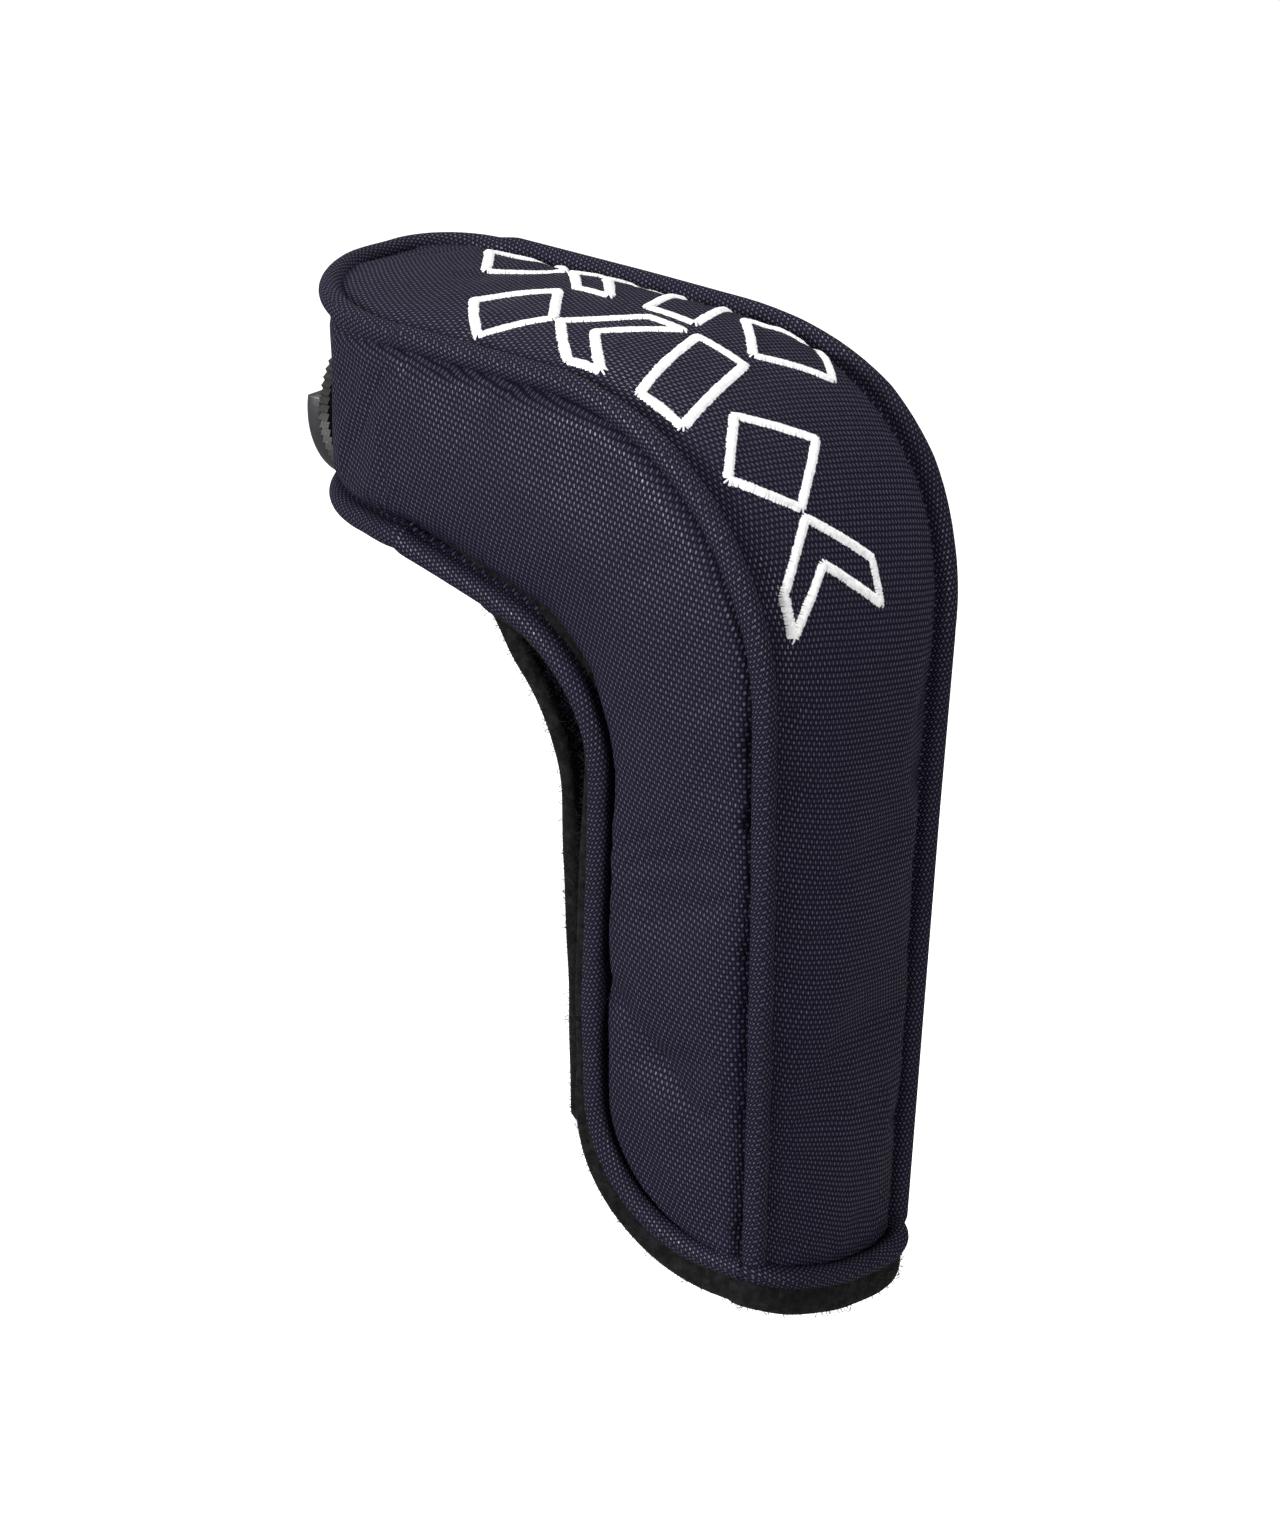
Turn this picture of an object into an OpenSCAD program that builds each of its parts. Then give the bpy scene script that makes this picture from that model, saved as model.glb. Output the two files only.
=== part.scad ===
// Padded L-shaped cover for a golf club head, with a number dial on its toe.
// Origin: centre of the neck opening. +Z runs up the neck, -X runs to the toe,
// and the side that opens as a flap faces -Y. Millimetres.

/* [Neck] */
// Half width of the neck across Y, between the side seams
neck_half_w = 33.5; // [32:0.5:36]
// Outer wall of the neck at Z = 0, on X
neck_outer_x = 25.8; // [25:0.1:28]
// Rise of the outer neck wall in X for each mm of height
neck_lean = 0.0403; // [0.03:0.0001:0.05]
// Inner wall of the neck, on X
neck_inner_x = -29; // [-30:0.5:-28.5]
// Height of the hem at the middle of the neck
hem_z = 0.45; // [-2:0.05:2]
// Fall of the hem for each mm of Y
hem_slope = 0.175; // [0:0.005:0.2]

/* [Head] */
// Height of the top seam at X = -40
top_z = 216; // [212:0.5:220]
// Rise of the top towards the toe for each mm
top_rise = 0.055; // [0.03:0.005:0.07]
// Toe end of the side walls, on X
toe_x = -122; // [-126:0.5:-120]
// Far side wall of the head, on Y
head_far_y = 39.5; // [38:0.5:41]
// Height of the underside at the toe
sole_z = 163.5; // [160:0.5:165]
// Radius of the outer bend, where the top turns down into the neck
outer_bend_r = 64; // [60:1:68]
// Radius of the inner bend, on the concave side
inner_bend_r = 57; // [52:1:58]
// Plan radius of the near toe corner
near_toe_r = 52; // [46:1:54]
// Plan radius of the far toe corner
far_toe_r = 18; // [14:1:18]

/* [Opening] */
// Height of the seam between the head band and the flap
flap_top_z = 128; // [120:1:132]
// Height of the flap's hem
flap_hem_z = 6; // [5:0.5:8]
// Radius of the flap's lower free corner
flap_corner_r = 32; // [26:1:34]
// How far the fleece facing shows beyond the flap's free edge
facing_side = 3.8; // [2.5:0.1:3.8]
// How far the fleece facing shows below the hem
facing_hem = 9; // [5:0.5:10]

/* [Padding] */
// Thickness of the woven outer fabric
fabric_t = 1.2; // [0.8:0.1:1.4]
// Thickness of the foam
foam_t = 3; // [2:0.1:3.2]
// Thickness of the fleece lining
lining_t = 1.8; // [1:0.1:2]
// Radius of the corded piping
piping_r = 2.6; // [2:0.1:2.7]

/* [Dial] */
// Outer radius of the number wheel, over its teeth
wheel_r = 22.3; // [20:0.1:23]
// Number of teeth on the number wheel
wheel_teeth = 66; // [48:2:72]
// Outer radius of the dial cap
cap_r = 21.5; // [19:0.1:22]
// Thickness of the dial cap
cap_t = 5; // [4:0.1:6]
// Height of the cap's flat top above the dial's axis
cap_cut = 4.3; // [4:0.1:8]
// Dial axis on Y
dial_y = 17; // [15:0.5:19]
// Dial axis on Z
dial_z = 182; // [180:0.5:188]

/* [Motif] */
// Number of stitched diamonds down the outer panel
motif_count = 6; // [4:1:8]
// Width of the satin-stitched lines
stitch_w = 2.5; // [1.5:0.1:3]

/* [Hidden] */
$fn = 64;
layer_gap = 0.1;
wall_t = fabric_t + foam_t + lining_t + 2 * layer_gap;
far = 200;
arc_step = 6;
foam_in = fabric_t + layer_gap;
lining_in = foam_in + foam_t + layer_gap;
panel_inset = wall_t + 0.3;
inner_inset = wall_t + 1.3;
flap_gap = 0.4;
toe_seam_y = 19;
piping_off = piping_r * 0.81;

// Side view: where the underside, the free edge and the flap's waist turn
sole_bend_x = -85;
sole_bend_r = 60;
inner_bend_z = 148.4;
edge_z = 167;
edge_head_x = -80;
edge_bend = [-15.2, 149.9];
edge_bend_r = 38;
edge_waist = [-20.5, 62];
edge_waist_r = 120;

// Plan view: where the far side steps out from the neck to the head
step_x = [-10, -70];
step_r = 90;

// Dial stack along X, from the toe wall outwards
base_t = 1.4;
base_r = 20;
wheel_t = 2.8;
boss_r = 3;
boss_fit = 0.05;
spring_r = 9;
spring_t = 0.5;
rivet_r = 1.6;
rivet_head_r = 3.4;
plate_r = 9;
plate_t = 1.2;
plate_x = toe_x + lining_in - 0.6;
rivet_head_t = 0.5;
base_x = toe_x - 0.2;
wheel_x = base_x - base_t - 0.25;
cap_x = wheel_x - wheel_t - 0.25;
cap_wall = 1.6;
tooth_h = 0.9;
numeral_h = 0.4;

navy = [0.13, 0.14, 0.29];
navy_dark = [0.10, 0.11, 0.24];
fleece = [0.05, 0.05, 0.06];
foam_grey = [0.62, 0.62, 0.60];
thread_white = [0.90, 0.90, 0.88];
dial_grey = [0.36, 0.36, 0.38];
dial_black = [0.08, 0.08, 0.09];
steel = [0.70, 0.70, 0.72];

// ---- Paths -----------------------------------------------------------------

function unit(v) = v / norm(v);
function left(v) = [-v[1], v[0]];
function reversed(p) = [for (i = [len(p) - 1:-1:0]) p[i]];
function wrap(a) = a > 180 ? a - 360 : a < -180 ? a + 360 : a;

// The arc of radius r that rounds corner b between points a and c
function corner_arc(a, b, c, r) =
    let (u = unit(a - b), v = unit(c - b), half = acos(u * v) / 2,
        m = b + unit(u + v) * r / sin(half),
        s = b + u * r / tan(half) - m, e = b + v * r / tan(half) - m,
        a0 = atan2(s[1], s[0]), turn = wrap(atan2(e[1], e[0]) - a0),
        n = max(2, ceil(abs(turn) / arc_step)))
    [for (i = [0:n]) m + r * [cos(a0 + turn * i / n), sin(a0 + turn * i / n)]];

// An open path through pts with corner i rounded to radii[i]
function rounded(pts, radii) =
    [for (i = [0:len(pts) - 1])
        for (p = radii[i] > 0 ? corner_arc(pts[i - 1], pts[i], pts[i + 1], radii[i]) : [pts[i]])
            p];

// The open path moved d to its left
function moved(p, d) =
    [for (i = [0:len(p) - 1])
        let (t0 = unit(p[max(i, 1)] - p[max(i, 1) - 1]),
            k = min(i + 1, len(p) - 1), t1 = unit(p[k] - p[k - 1]), t = unit(t0 + t1))
        p[i] + left(t) * d / (t * t1)];

// The points of a path inside a range of one coordinate
function between(p, axis, lo, hi) = [for (q = p) if (q[axis] > lo && q[axis] < hi) q];

function outer_x(z) = neck_outer_x + neck_lean * z;
function top_at(x) = top_z - top_rise * (x + 40);
function hem_at(y) = hem_z - hem_slope * y;

// Side view (X, Z). The inside of the cover is on the left of each path.
bend_z = (top_z - top_rise * (neck_outer_x + 40)) / (1 + top_rise * neck_lean);
outer_path = rounded(
    [[outer_x(-40), -40], [outer_x(bend_z), bend_z], [-far, top_at(-far)]],
    [0, outer_bend_r, 0]);
inner_path = rounded(
    [[-far, sole_z], [sole_bend_x, sole_z], [neck_inner_x, inner_bend_z], [neck_inner_x, -40]],
    [0, sole_bend_r, inner_bend_r, 0]);

// The free edge of the near side. side and low move it out past the seam.
function free_edge(side, low) = rounded(
    [[-far, edge_z - side], [edge_head_x, edge_z - side], edge_bend - [side, side],
        edge_waist - [side, 0], [edge_waist[0] - side, flap_hem_z - low],
        [outer_x(flap_hem_z - low), flap_hem_z - low]],
    [0, sole_bend_r, edge_bend_r, edge_waist_r, flap_corner_r, 0]);

// The near side in side view, between the outer seam and the free edge
near_outline = concat([for (p = outer_path) if (p[1] > flap_hem_z) p], free_edge(0, 0));

// Plan view (X, Y), from the neck along the far side, round the toe and back
plan_path = rounded(
    [[60, neck_half_w], [step_x[0], neck_half_w], [step_x[1], head_far_y], [toe_x, head_far_y],
        [toe_x, -neck_half_w], [60, -neck_half_w]],
    [0, step_r, step_r, far_toe_r, near_toe_r, 0]);

// ---- Building blocks ---------------------------------------------------------

// A side-view outline, as deep as the whole cover
module side_prism(pts) {
    translate([0, far / 2, 0]) rotate([90, 0, 0]) linear_extrude(far) polygon(pts);
}

module plan_prism(inset) {
    translate([0, 0, -40]) linear_extrude(far + 80) polygon(moved(plan_path, inset));
}

// The wall between two depths below the plan outline
module ring(from, to) {
    difference() {
        plan_prism(from);
        plan_prism(to);
    }
}

// The strip between two depths below a side-view path
module strip(path, from, to) {
    side_prism(concat(moved(path, from), reversed(moved(path, to))));
}

// Everything above the slanted hem, or above a line lower by drop
module above_hem(drop = 0) {
    translate([-far, 0, 0]) rotate([90, 0, 90]) linear_extrude(far + 60)
        polygon([[-60, hem_at(-60) - drop], [60, hem_at(60) - drop], [60, far + 60], [-60, far + 60]]);
}

// The half space on one side of the seam over the flap, square to the hinge
module past_flap_seam(up) {
    tilt = atan(neck_lean);
    translate([outer_x(flap_top_z), 0, flap_top_z + (up ? flap_gap / 2 : -flap_gap / 2)])
        rotate([0, tilt, 0]) translate([-far, -far / 2, up ? 0 : -far]) cube([far + 20, far, far]);
}

module near_half() {
    translate([-far, -far + toe_seam_y, -60]) cube([2 * far, far, 2 * far]);
}

module far_half() {
    translate([-far, toe_seam_y + layer_gap, -60]) cube([2 * far, far, 2 * far]);
}

// A round tube along a path in space
module tube(path, r, sides = 10) {
    n = len(path);
    t = [for (i = [0:n - 1]) unit(path[min(i + 1, n - 1)] - path[max(i - 1, 0)])];
    start = cross(t[0], [0.31, 0.83, 0.46]);
    u = [for (i = 0, v = unit(start); i < n;
        v = unit(v - (v * t[min(i + 1, n - 1)]) * t[min(i + 1, n - 1)]), i = i + 1) v];
    pts = [for (i = [0:n - 1]) for (k = [0:sides - 1])
        path[i] + r * (cos(360 * k / sides) * u[i] + sin(360 * k / sides) * cross(t[i], u[i]))];
    walls = [for (i = [0:n - 2]) for (k = [0:sides - 1])
        let (a = i * sides + k, b = i * sides + (k + 1) % sides)
        each [[a, a + sides, b], [b, a + sides, b + sides]]];
    ends = [[for (k = [0:sides - 1]) k], [for (k = [sides - 1:-1:0]) (n - 1) * sides + k]];
    polyhedron(points = pts, faces = concat(walls, ends), convexity = 6);
}

// A disc or a bore on the dial's axis, from x going outwards (-X)
module dial_disc(x, t, r) {
    translate([x, dial_y, dial_z]) rotate([0, -90, 0]) cylinder(h = t, r = r);
}

// ---- Walls -------------------------------------------------------------------

// One layer of the outer panel, the long tongue over the top and down the neck
module outer_layer(from, to) {
    intersection() {
        strip(outer_path, from, to);
        plan_prism(panel_inset);
        above_hem();
    }
}

module inner_layer(from, to) {
    intersection() {
        strip(inner_path, from, to);
        plan_prism(inner_inset);
        above_hem();
    }
}

module near_head_layer(from, to) {
    intersection() {
        ring(from, to);
        side_prism(near_outline);
        past_flap_seam(true);
        near_half();
    }
}

module flap_layer(from, to) {
    intersection() {
        ring(from, to);
        side_prism(near_outline);
        past_flap_seam(false);
        translate([-40, -60, -20]) cube([80, 60, far]);
    }
}

module far_layer(from, to) {
    intersection() {
        ring(from, to);
        side_prism(concat(outer_path, inner_path));
        far_half();
        above_hem();
    }
}

module outer_panel() { color(navy) outer_layer(0, fabric_t); }
module outer_panel_foam() { color(foam_grey) outer_layer(foam_in, foam_in + foam_t); }
module outer_panel_lining() { color(fleece) outer_layer(lining_in, lining_in + lining_t); }

module near_head_band() {
    color(navy) difference() {
        near_head_layer(0, fabric_t);
        dial_disc(toe_x + wall_t, far, rivet_r + 0.2);
    }
}

// The foam holds the dial's backing plate in a pocket
module near_head_foam() {
    color(foam_grey) difference() {
        near_head_layer(foam_in, foam_in + foam_t);
        plate_pocket();
    }
}

module near_head_lining() { color(fleece) near_head_layer(lining_in, lining_in + lining_t); }

module far_side_band() {
    color(navy) difference() {
        far_layer(0, fabric_t);
        dial_disc(toe_x + wall_t, far, rivet_r + 0.2);
    }
}

module far_side_foam() {
    color(foam_grey) difference() {
        far_layer(foam_in, foam_in + foam_t);
        plate_pocket();
    }
}

module far_side_lining() { color(fleece) far_layer(lining_in, lining_in + lining_t); }

module inner_panel() { color(navy) inner_layer(0, fabric_t); }
module inner_panel_foam() { color(foam_grey) inner_layer(foam_in, foam_in + foam_t); }
module inner_panel_lining() { color(fleece) inner_layer(lining_in, lining_in + lining_t); }

module flap_panel() { color(navy) flap_layer(0, fabric_t); }
module flap_foam() { color(foam_grey) flap_layer(foam_in, foam_in + foam_t); }
module flap_lining() { color(fleece) flap_layer(lining_in, lining_in + lining_t); }

// ---- Fleece facings along the free edges ---------------------------------------

facing_y = [-neck_half_w + 0.8, -neck_half_w + wall_t - 0.2];

module facing_outline() {
    slack = 2 * layer_gap;
    intersection() {
        side_prism(concat(free_edge(facing_side, facing_hem), reversed(free_edge(slack, slack))));
        translate([-46, facing_y[0], -20]) cube([100, facing_y[1] - facing_y[0], far]);
    }
}

module near_slit_facing() {
    color(fleece) intersection() {
        facing_outline();
        past_flap_seam(true);
    }
}

module flap_facing() {
    color(fleece) intersection() {
        facing_outline();
        past_flap_seam(false);
    }
}

// The far side of the slit: a fleece roll along the inner panel's near edge
module far_slit_facing() {
    edge_y = -neck_half_w + inner_inset - 0.2;
    color(fleece) intersection() {
        strip(inner_path, -1.5, 4);
        translate([-46, edge_y - 5.6, 12]) cube([40, 5.6, far]);
    }
}

module hem_facing() {
    x0 = neck_inner_x + fabric_t + 0.2;
    x1 = outer_x(-10) - fabric_t - 0.2;
    y0 = -neck_half_w + panel_inset;
    y1 = neck_half_w - fabric_t - 0.2;
    t = foam_t + lining_t - 0.2;
    color(fleece) difference() {
        intersection() {
            translate([0, 0, -30]) linear_extrude(60) difference() {
                translate([x0, y0]) square([x1 - x0, y1 - y0]);
                translate([x0 + t, y0 - 1]) square([x1 - x0 - 2 * t, y1 - y0 + 1 - t]);
            }
            above_hem(facing_hem);
        }
        translate([0, 0, -layer_gap * 2]) above_hem();
    }
}

// ---- Piping --------------------------------------------------------------------

near_pipe_y = -neck_half_w - piping_off;
pipe_plan = moved(plan_path, -piping_off);
pipe_top = moved(outer_path, -piping_off);
arc_end_x = pipe_top[len(pipe_top) - 2][0];
pipe_rise = [for (p = pipe_top) if (p[1] > 10 && p[0] > -90) p];

// Round the outer panel: up the near side, round the toe and down the far side
module outer_edge_piping() {
    toe = [for (p = between(pipe_plan, 0, -far, arc_end_x - 4)) [p[0], p[1], top_at(p[0]) + piping_off]];
    near = [for (p = pipe_rise) [p[0], near_pipe_y, p[1]]];
    far_side = [for (p = pipe_rise) [p[0], -near_pipe_y, p[1]]];
    color(navy_dark) tube(concat(
        [[outer_x(12) + piping_off, near_pipe_y, 12]], near, reversed(toe), reversed(far_side),
        [[outer_x(2) + piping_off, -near_pipe_y, 2]]), piping_r);
}

// Round the underside of the head and down the far side of the neck. The dial covers a gap in it.
module lower_edge_piping() {
    edge = moved(free_edge(0, 0), -piping_off);
    sole = moved(inner_path, -piping_off);
    far_plan = [for (p = pipe_plan) if (p[1] > 0 && p[0] > toe_x + far_toe_r) p];
    drop = [[0, edge_z - piping_off], [toe_seam_y + piping_r, sole_z - piping_off]];
    head_near = [for (p = edge) if (p[1] > flap_top_z + 4 && p[0] > -78 && p[0] < 20) p];
    far_start = sole_bend_x - 9;
    toe = [for (p = pipe_plan) if (p[0] < (p[1] > 0 ? far_start : edge_head_x))
        [p[0], p[1], lookup(p[1], drop)]];
    far_run = [for (p = sole) if (p[0] > far_start && p[1] > 4) p];
    color(navy_dark) difference() {
        tube(concat(
            [for (p = reversed(head_near)) [p[0], near_pipe_y, p[1]]], reversed(toe),
            [for (p = far_run) [p[0], lookup(p[0], far_plan), p[1]]],
            [[neck_inner_x - piping_off, lookup(neck_inner_x - piping_off, far_plan), 2]]), piping_r);
        dial_disc(toe_x + 2, 20, wheel_r + 0.5);
    }
}

// Along the inner panel's near edge, behind the fleece roll
module slit_edge_piping() {
    r = piping_r - 0.6;
    edge = [for (p = moved(inner_path, -r - 0.15)) if (p[0] > -60 && p[1] > 12) p];
    y = -neck_half_w + inner_inset + r + 0.2;
    color(navy_dark) tube(concat([for (p = edge) [p[0], y, p[1]]],
        [[neck_inner_x - r - 0.15, y, 12]]), r);
}

// Round the hem of the outer panel, the far side and the inner panel
module hem_piping() {
    off = piping_off + 0.6;
    x1 = outer_x(0) + off;
    x0 = neck_inner_x - off;
    y1 = neck_half_w + off;
    corner = 7;
    y0 = -neck_half_w + panel_inset;
    loop = rounded([[x1, y0], [x1, y1], [x0, y1], [x0, y0 + 6]], [0, corner, corner, 0]);
    color(navy_dark) tube([for (p = loop) [p[0], p[1], hem_at(p[1]) - 3]], piping_r);
}

module flap_edge_piping() {
    edge = moved(free_edge(0, 0), -piping_off);
    run = [for (p = edge) if (p[1] < flap_top_z - 4) p];
    color(navy_dark) tube([for (p = run) [min(p[0], neck_outer_x - 2), near_pipe_y, p[1]]], piping_r);
}

// ---- Stitched motif ------------------------------------------------------------

// Length along the outer path up to point i
function run_to(p, i) = i == 0 ? 0 : run_to(p, i - 1) + norm(p[i] - p[i - 1]);
// Place on a path at length s: [x, z, heading]
function place(p, s, i = 1) =
    let (a = run_to(p, i - 1), l = norm(p[i] - p[i - 1]))
    s <= a + l || i == len(p) - 1
        ? let (d = (p[i] - p[i - 1]) / l, q = p[i - 1] + d * (s - a)) [q[0], q[1], atan2(d[1], d[0])]
        : place(p, s, i + 1);

// One stitched bar on the panel, from (s, y) to (s, y)
module bar(a, b) {
    m = place(outer_path, (a[0] + b[0]) / 2);
    translate([m[0], (a[1] + b[1]) / 2, m[1]]) rotate([0, -m[2], 0])
        rotate([0, 0, atan2(b[1] - a[1], b[0] - a[0])])
            translate([-norm(b - a) / 2, -stitch_w / 2, -1.15])
                cube([norm(b - a), stitch_w, 0.8]);
}

module stitched_motif() {
    pitch = 30;
    first = 150;
    color(thread_white)
        for (i = [0:motif_count - 1], side = [-1, 1]) {
            s = first + i * pitch;
            bar([s - 10, side * 3], [s - 2, side * 15]);
            bar([s + 2, side * 15], [s + 10, side * 3]);
        }
}

// ---- Dial ----------------------------------------------------------------------

module plate_pocket() {
    dial_disc(toe_x + wall_t, far, rivet_r + 0.2);
    dial_disc(plate_x + 0.9, plate_t + 1, plate_r + 0.5);
}

module dial_backing_plate() {
    color(dial_black) difference() {
        dial_disc(plate_x, plate_t, plate_r);
        dial_disc(toe_x + 10, 20, rivet_r + 0.1);
    }
}

module dial_base() {
    color(dial_black) difference() {
        union() {
            dial_disc(base_x, base_t, base_r);
            dial_disc(base_x - base_t / 2, base_t / 2 + wheel_t + 0.5, boss_r);
        }
        dial_disc(toe_x + 10, 40, rivet_r + 0.1);
    }
}

// A knurled disc that turns on the base's boss, with a recess for the spring
module number_wheel() {
    step = 360 / wheel_teeth;
    teeth = [for (i = [0:wheel_teeth - 1]) each [
        (wheel_r - tooth_h) * [cos((i - 0.3) * step), sin((i - 0.3) * step)],
        wheel_r * [cos(i * step), sin(i * step)]]];
    color(dial_black) difference() {
        translate([wheel_x, dial_y, dial_z]) rotate([0, -90, 0]) linear_extrude(wheel_t) polygon(teeth);
        dial_disc(wheel_x + 1, wheel_t + 2, boss_r + boss_fit);
        dial_disc(wheel_x + 1, 1 + spring_t + 0.2, spring_r + 0.4);
    }
}

// Bars of each numeral: a top, b c right, d bottom, e f left, g middle
function numeral_bars(n) =
    n == 2 ? [0, 1, 6, 4, 3] : n == 3 ? [0, 1, 6, 2, 3] : n == 4 ? [5, 6, 1, 2]
    : n == 5 ? [0, 5, 6, 2, 3] : [0, 5, 6, 4, 3, 2];

module numeral(n, w = 4, h = 7, t = 0.9) {
    c = w / 2;
    q = h / 2;
    spots = [[0, q, 0], [c, q / 2, 1], [c, -q / 2, 1], [0, -q, 0], [-c, -q / 2, 1], [-c, q / 2, 1], [0, 0, 0]];
    for (b = numeral_bars(n))
        translate([spots[b][0], spots[b][1]])
            square(spots[b][2] == 1 ? [t, q - t - 0.2] : [w - t - 0.2, t], center = true);
}

// Numerals 2 to 6 round the wheel's face
module wheel_numerals() {
    color(thread_white)
        for (n = [2:6])
            translate([wheel_x - wheel_t - 0.01, dial_y, dial_z])
                rotate([0, -90, 0]) rotate([0, 0, (n - 4) * 72]) translate([13.5, 0, 0])
                    rotate([0, 0, -90]) linear_extrude(0.2) numeral(n);
}

// The cap hides all but the top of the wheel
module cap_solid(x, t, r, cut) {
    difference() {
        dial_disc(x, t, r);
        translate([x - t - 5, dial_y - 30, dial_z + cut]) cube([t + 10, 60, 30]);
    }
}

module dial_cap() {
    color(dial_grey) difference() {
        union() {
            cap_solid(cap_x, cap_t - 1, cap_r, cap_cut);
            cap_solid(cap_x - cap_t + 1.5, 1.5, cap_r - 1, cap_cut - 0.6);
        }
        difference() {
            cap_solid(cap_x + 1, cap_t - cap_wall + 1, cap_r - cap_wall, cap_cut - cap_wall);
            dial_disc(cap_x + 2, cap_t + 2, 4);
        }
        dial_disc(cap_x + 1, cap_t - cap_wall + 1, rivet_r + 0.1);
    }
}

// The rivet holds cap, base and backing plate together through the toe
module dial_rivet() {
    color(steel) {
        dial_disc(plate_x, abs(cap_x - cap_t + cap_wall + 0.4 - plate_x), rivet_r);
        dial_disc(plate_x + rivet_head_t, rivet_head_t, rivet_head_r);
    }
}

module dial_spring() {
    color(steel) difference() {
        dial_disc(base_x - base_t - 0.02, spring_t, spring_r);
        dial_disc(base_x, base_t + 3, 6);
    }
}

outer_panel();
outer_panel_foam();
outer_panel_lining();
near_head_band();
near_head_foam();
near_head_lining();
far_side_band();
far_side_foam();
far_side_lining();
inner_panel();
inner_panel_foam();
inner_panel_lining();
outer_edge_piping();
lower_edge_piping();
slit_edge_piping();
hem_piping();
near_slit_facing();
far_slit_facing();
hem_facing();
stitched_motif();
dial_base();
dial_cap();
dial_rivet();
dial_backing_plate();
dial_spring();
flap_panel();
flap_foam();
flap_lining();
flap_edge_piping();
flap_facing();
number_wheel();
wheel_numerals();
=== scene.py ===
# %% [markdown]
# # A padded golf club headcover
# The object is an L-shaped cover of coarse navy fabric over foam, lined with black fleece. Four walls are
# sewn together over corded piping, the near wall opens along a slit, and a number dial is riveted to the
# toe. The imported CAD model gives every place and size. This lesson builds the soft walls as ruled strips
# between two seams, lets the cloth solver settle them, and adds piping, fleece, stitching and the dial.

# %% Load the frame
import math

import bmesh
import bpy
import numpy as np
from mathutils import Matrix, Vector


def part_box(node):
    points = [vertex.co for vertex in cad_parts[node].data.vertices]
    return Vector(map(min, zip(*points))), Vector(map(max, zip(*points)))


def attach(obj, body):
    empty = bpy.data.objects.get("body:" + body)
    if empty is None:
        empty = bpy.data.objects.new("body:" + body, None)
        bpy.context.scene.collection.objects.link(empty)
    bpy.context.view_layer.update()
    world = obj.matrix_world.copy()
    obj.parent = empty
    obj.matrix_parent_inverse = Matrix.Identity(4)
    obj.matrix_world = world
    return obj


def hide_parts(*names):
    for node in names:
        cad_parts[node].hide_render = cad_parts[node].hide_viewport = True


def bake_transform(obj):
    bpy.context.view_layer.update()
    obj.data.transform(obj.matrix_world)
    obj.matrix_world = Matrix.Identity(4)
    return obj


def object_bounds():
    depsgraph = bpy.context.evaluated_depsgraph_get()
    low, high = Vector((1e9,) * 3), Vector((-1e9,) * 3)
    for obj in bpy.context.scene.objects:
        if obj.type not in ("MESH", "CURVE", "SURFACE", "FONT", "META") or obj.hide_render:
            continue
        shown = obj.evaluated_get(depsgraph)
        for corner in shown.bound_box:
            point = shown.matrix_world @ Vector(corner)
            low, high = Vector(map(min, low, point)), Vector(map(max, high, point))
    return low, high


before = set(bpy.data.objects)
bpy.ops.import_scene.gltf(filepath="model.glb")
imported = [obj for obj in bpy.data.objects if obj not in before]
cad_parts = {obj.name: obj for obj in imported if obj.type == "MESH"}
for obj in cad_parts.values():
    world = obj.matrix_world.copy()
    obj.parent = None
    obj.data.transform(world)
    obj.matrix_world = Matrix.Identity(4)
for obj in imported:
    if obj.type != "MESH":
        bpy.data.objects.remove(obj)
cad_box = [list(corner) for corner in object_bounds()]
MM = 0.001

# %% [markdown]
# ## Camera, floor and light
# A product shot uses a long lens, so that the neck doesn't shrink away from the head. The camera stands
# one metre off, turned 37.5 degrees to the toe's right and 22 degrees up. The floor is pale and a little
# below the hem, because the cover hangs on a club and never stands on it.

# %% Camera
AIM = Vector((-31, 0, 110)) * MM
CAMERA_AZIMUTH = math.radians(37.5)
CAMERA_HEIGHT = math.radians(22)
CAMERA_REACH = 1.0
LENS_MM = 97.4

back = Vector((math.sin(CAMERA_AZIMUTH) * math.cos(CAMERA_HEIGHT),
               -math.cos(CAMERA_AZIMUTH) * math.cos(CAMERA_HEIGHT),
               math.sin(CAMERA_HEIGHT)))
camera = bpy.data.objects.new("camera", bpy.data.cameras.new("camera"))
bpy.context.scene.collection.objects.link(camera)
camera.data.lens = LENS_MM
camera.location = AIM + back * CAMERA_REACH
camera.rotation_mode = "QUATERNION"
camera.rotation_quaternion = (-back).to_track_quat("-Z", "Y")
bpy.context.scene.camera = camera
print("camera at", [round(value, 3) for value in camera.location], "lens", LENS_MM, "mm")

# %% Floor and lights
FLOOR_DROP = 0.10


def area_light(name, place, size, power, tint=(1, 1, 1)):
    """A square soft box at a place, facing the middle of the cover."""
    light = bpy.data.lights.new(name, "AREA")
    light.size = size
    light.energy = power
    light.color = tint
    lamp = bpy.data.objects.new(name, light)
    lamp.location = place
    lamp.rotation_mode = "QUATERNION"
    lamp.rotation_quaternion = (AIM - Vector(place)).to_track_quat("-Z", "Y")
    bpy.context.scene.collection.objects.link(lamp)


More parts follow.
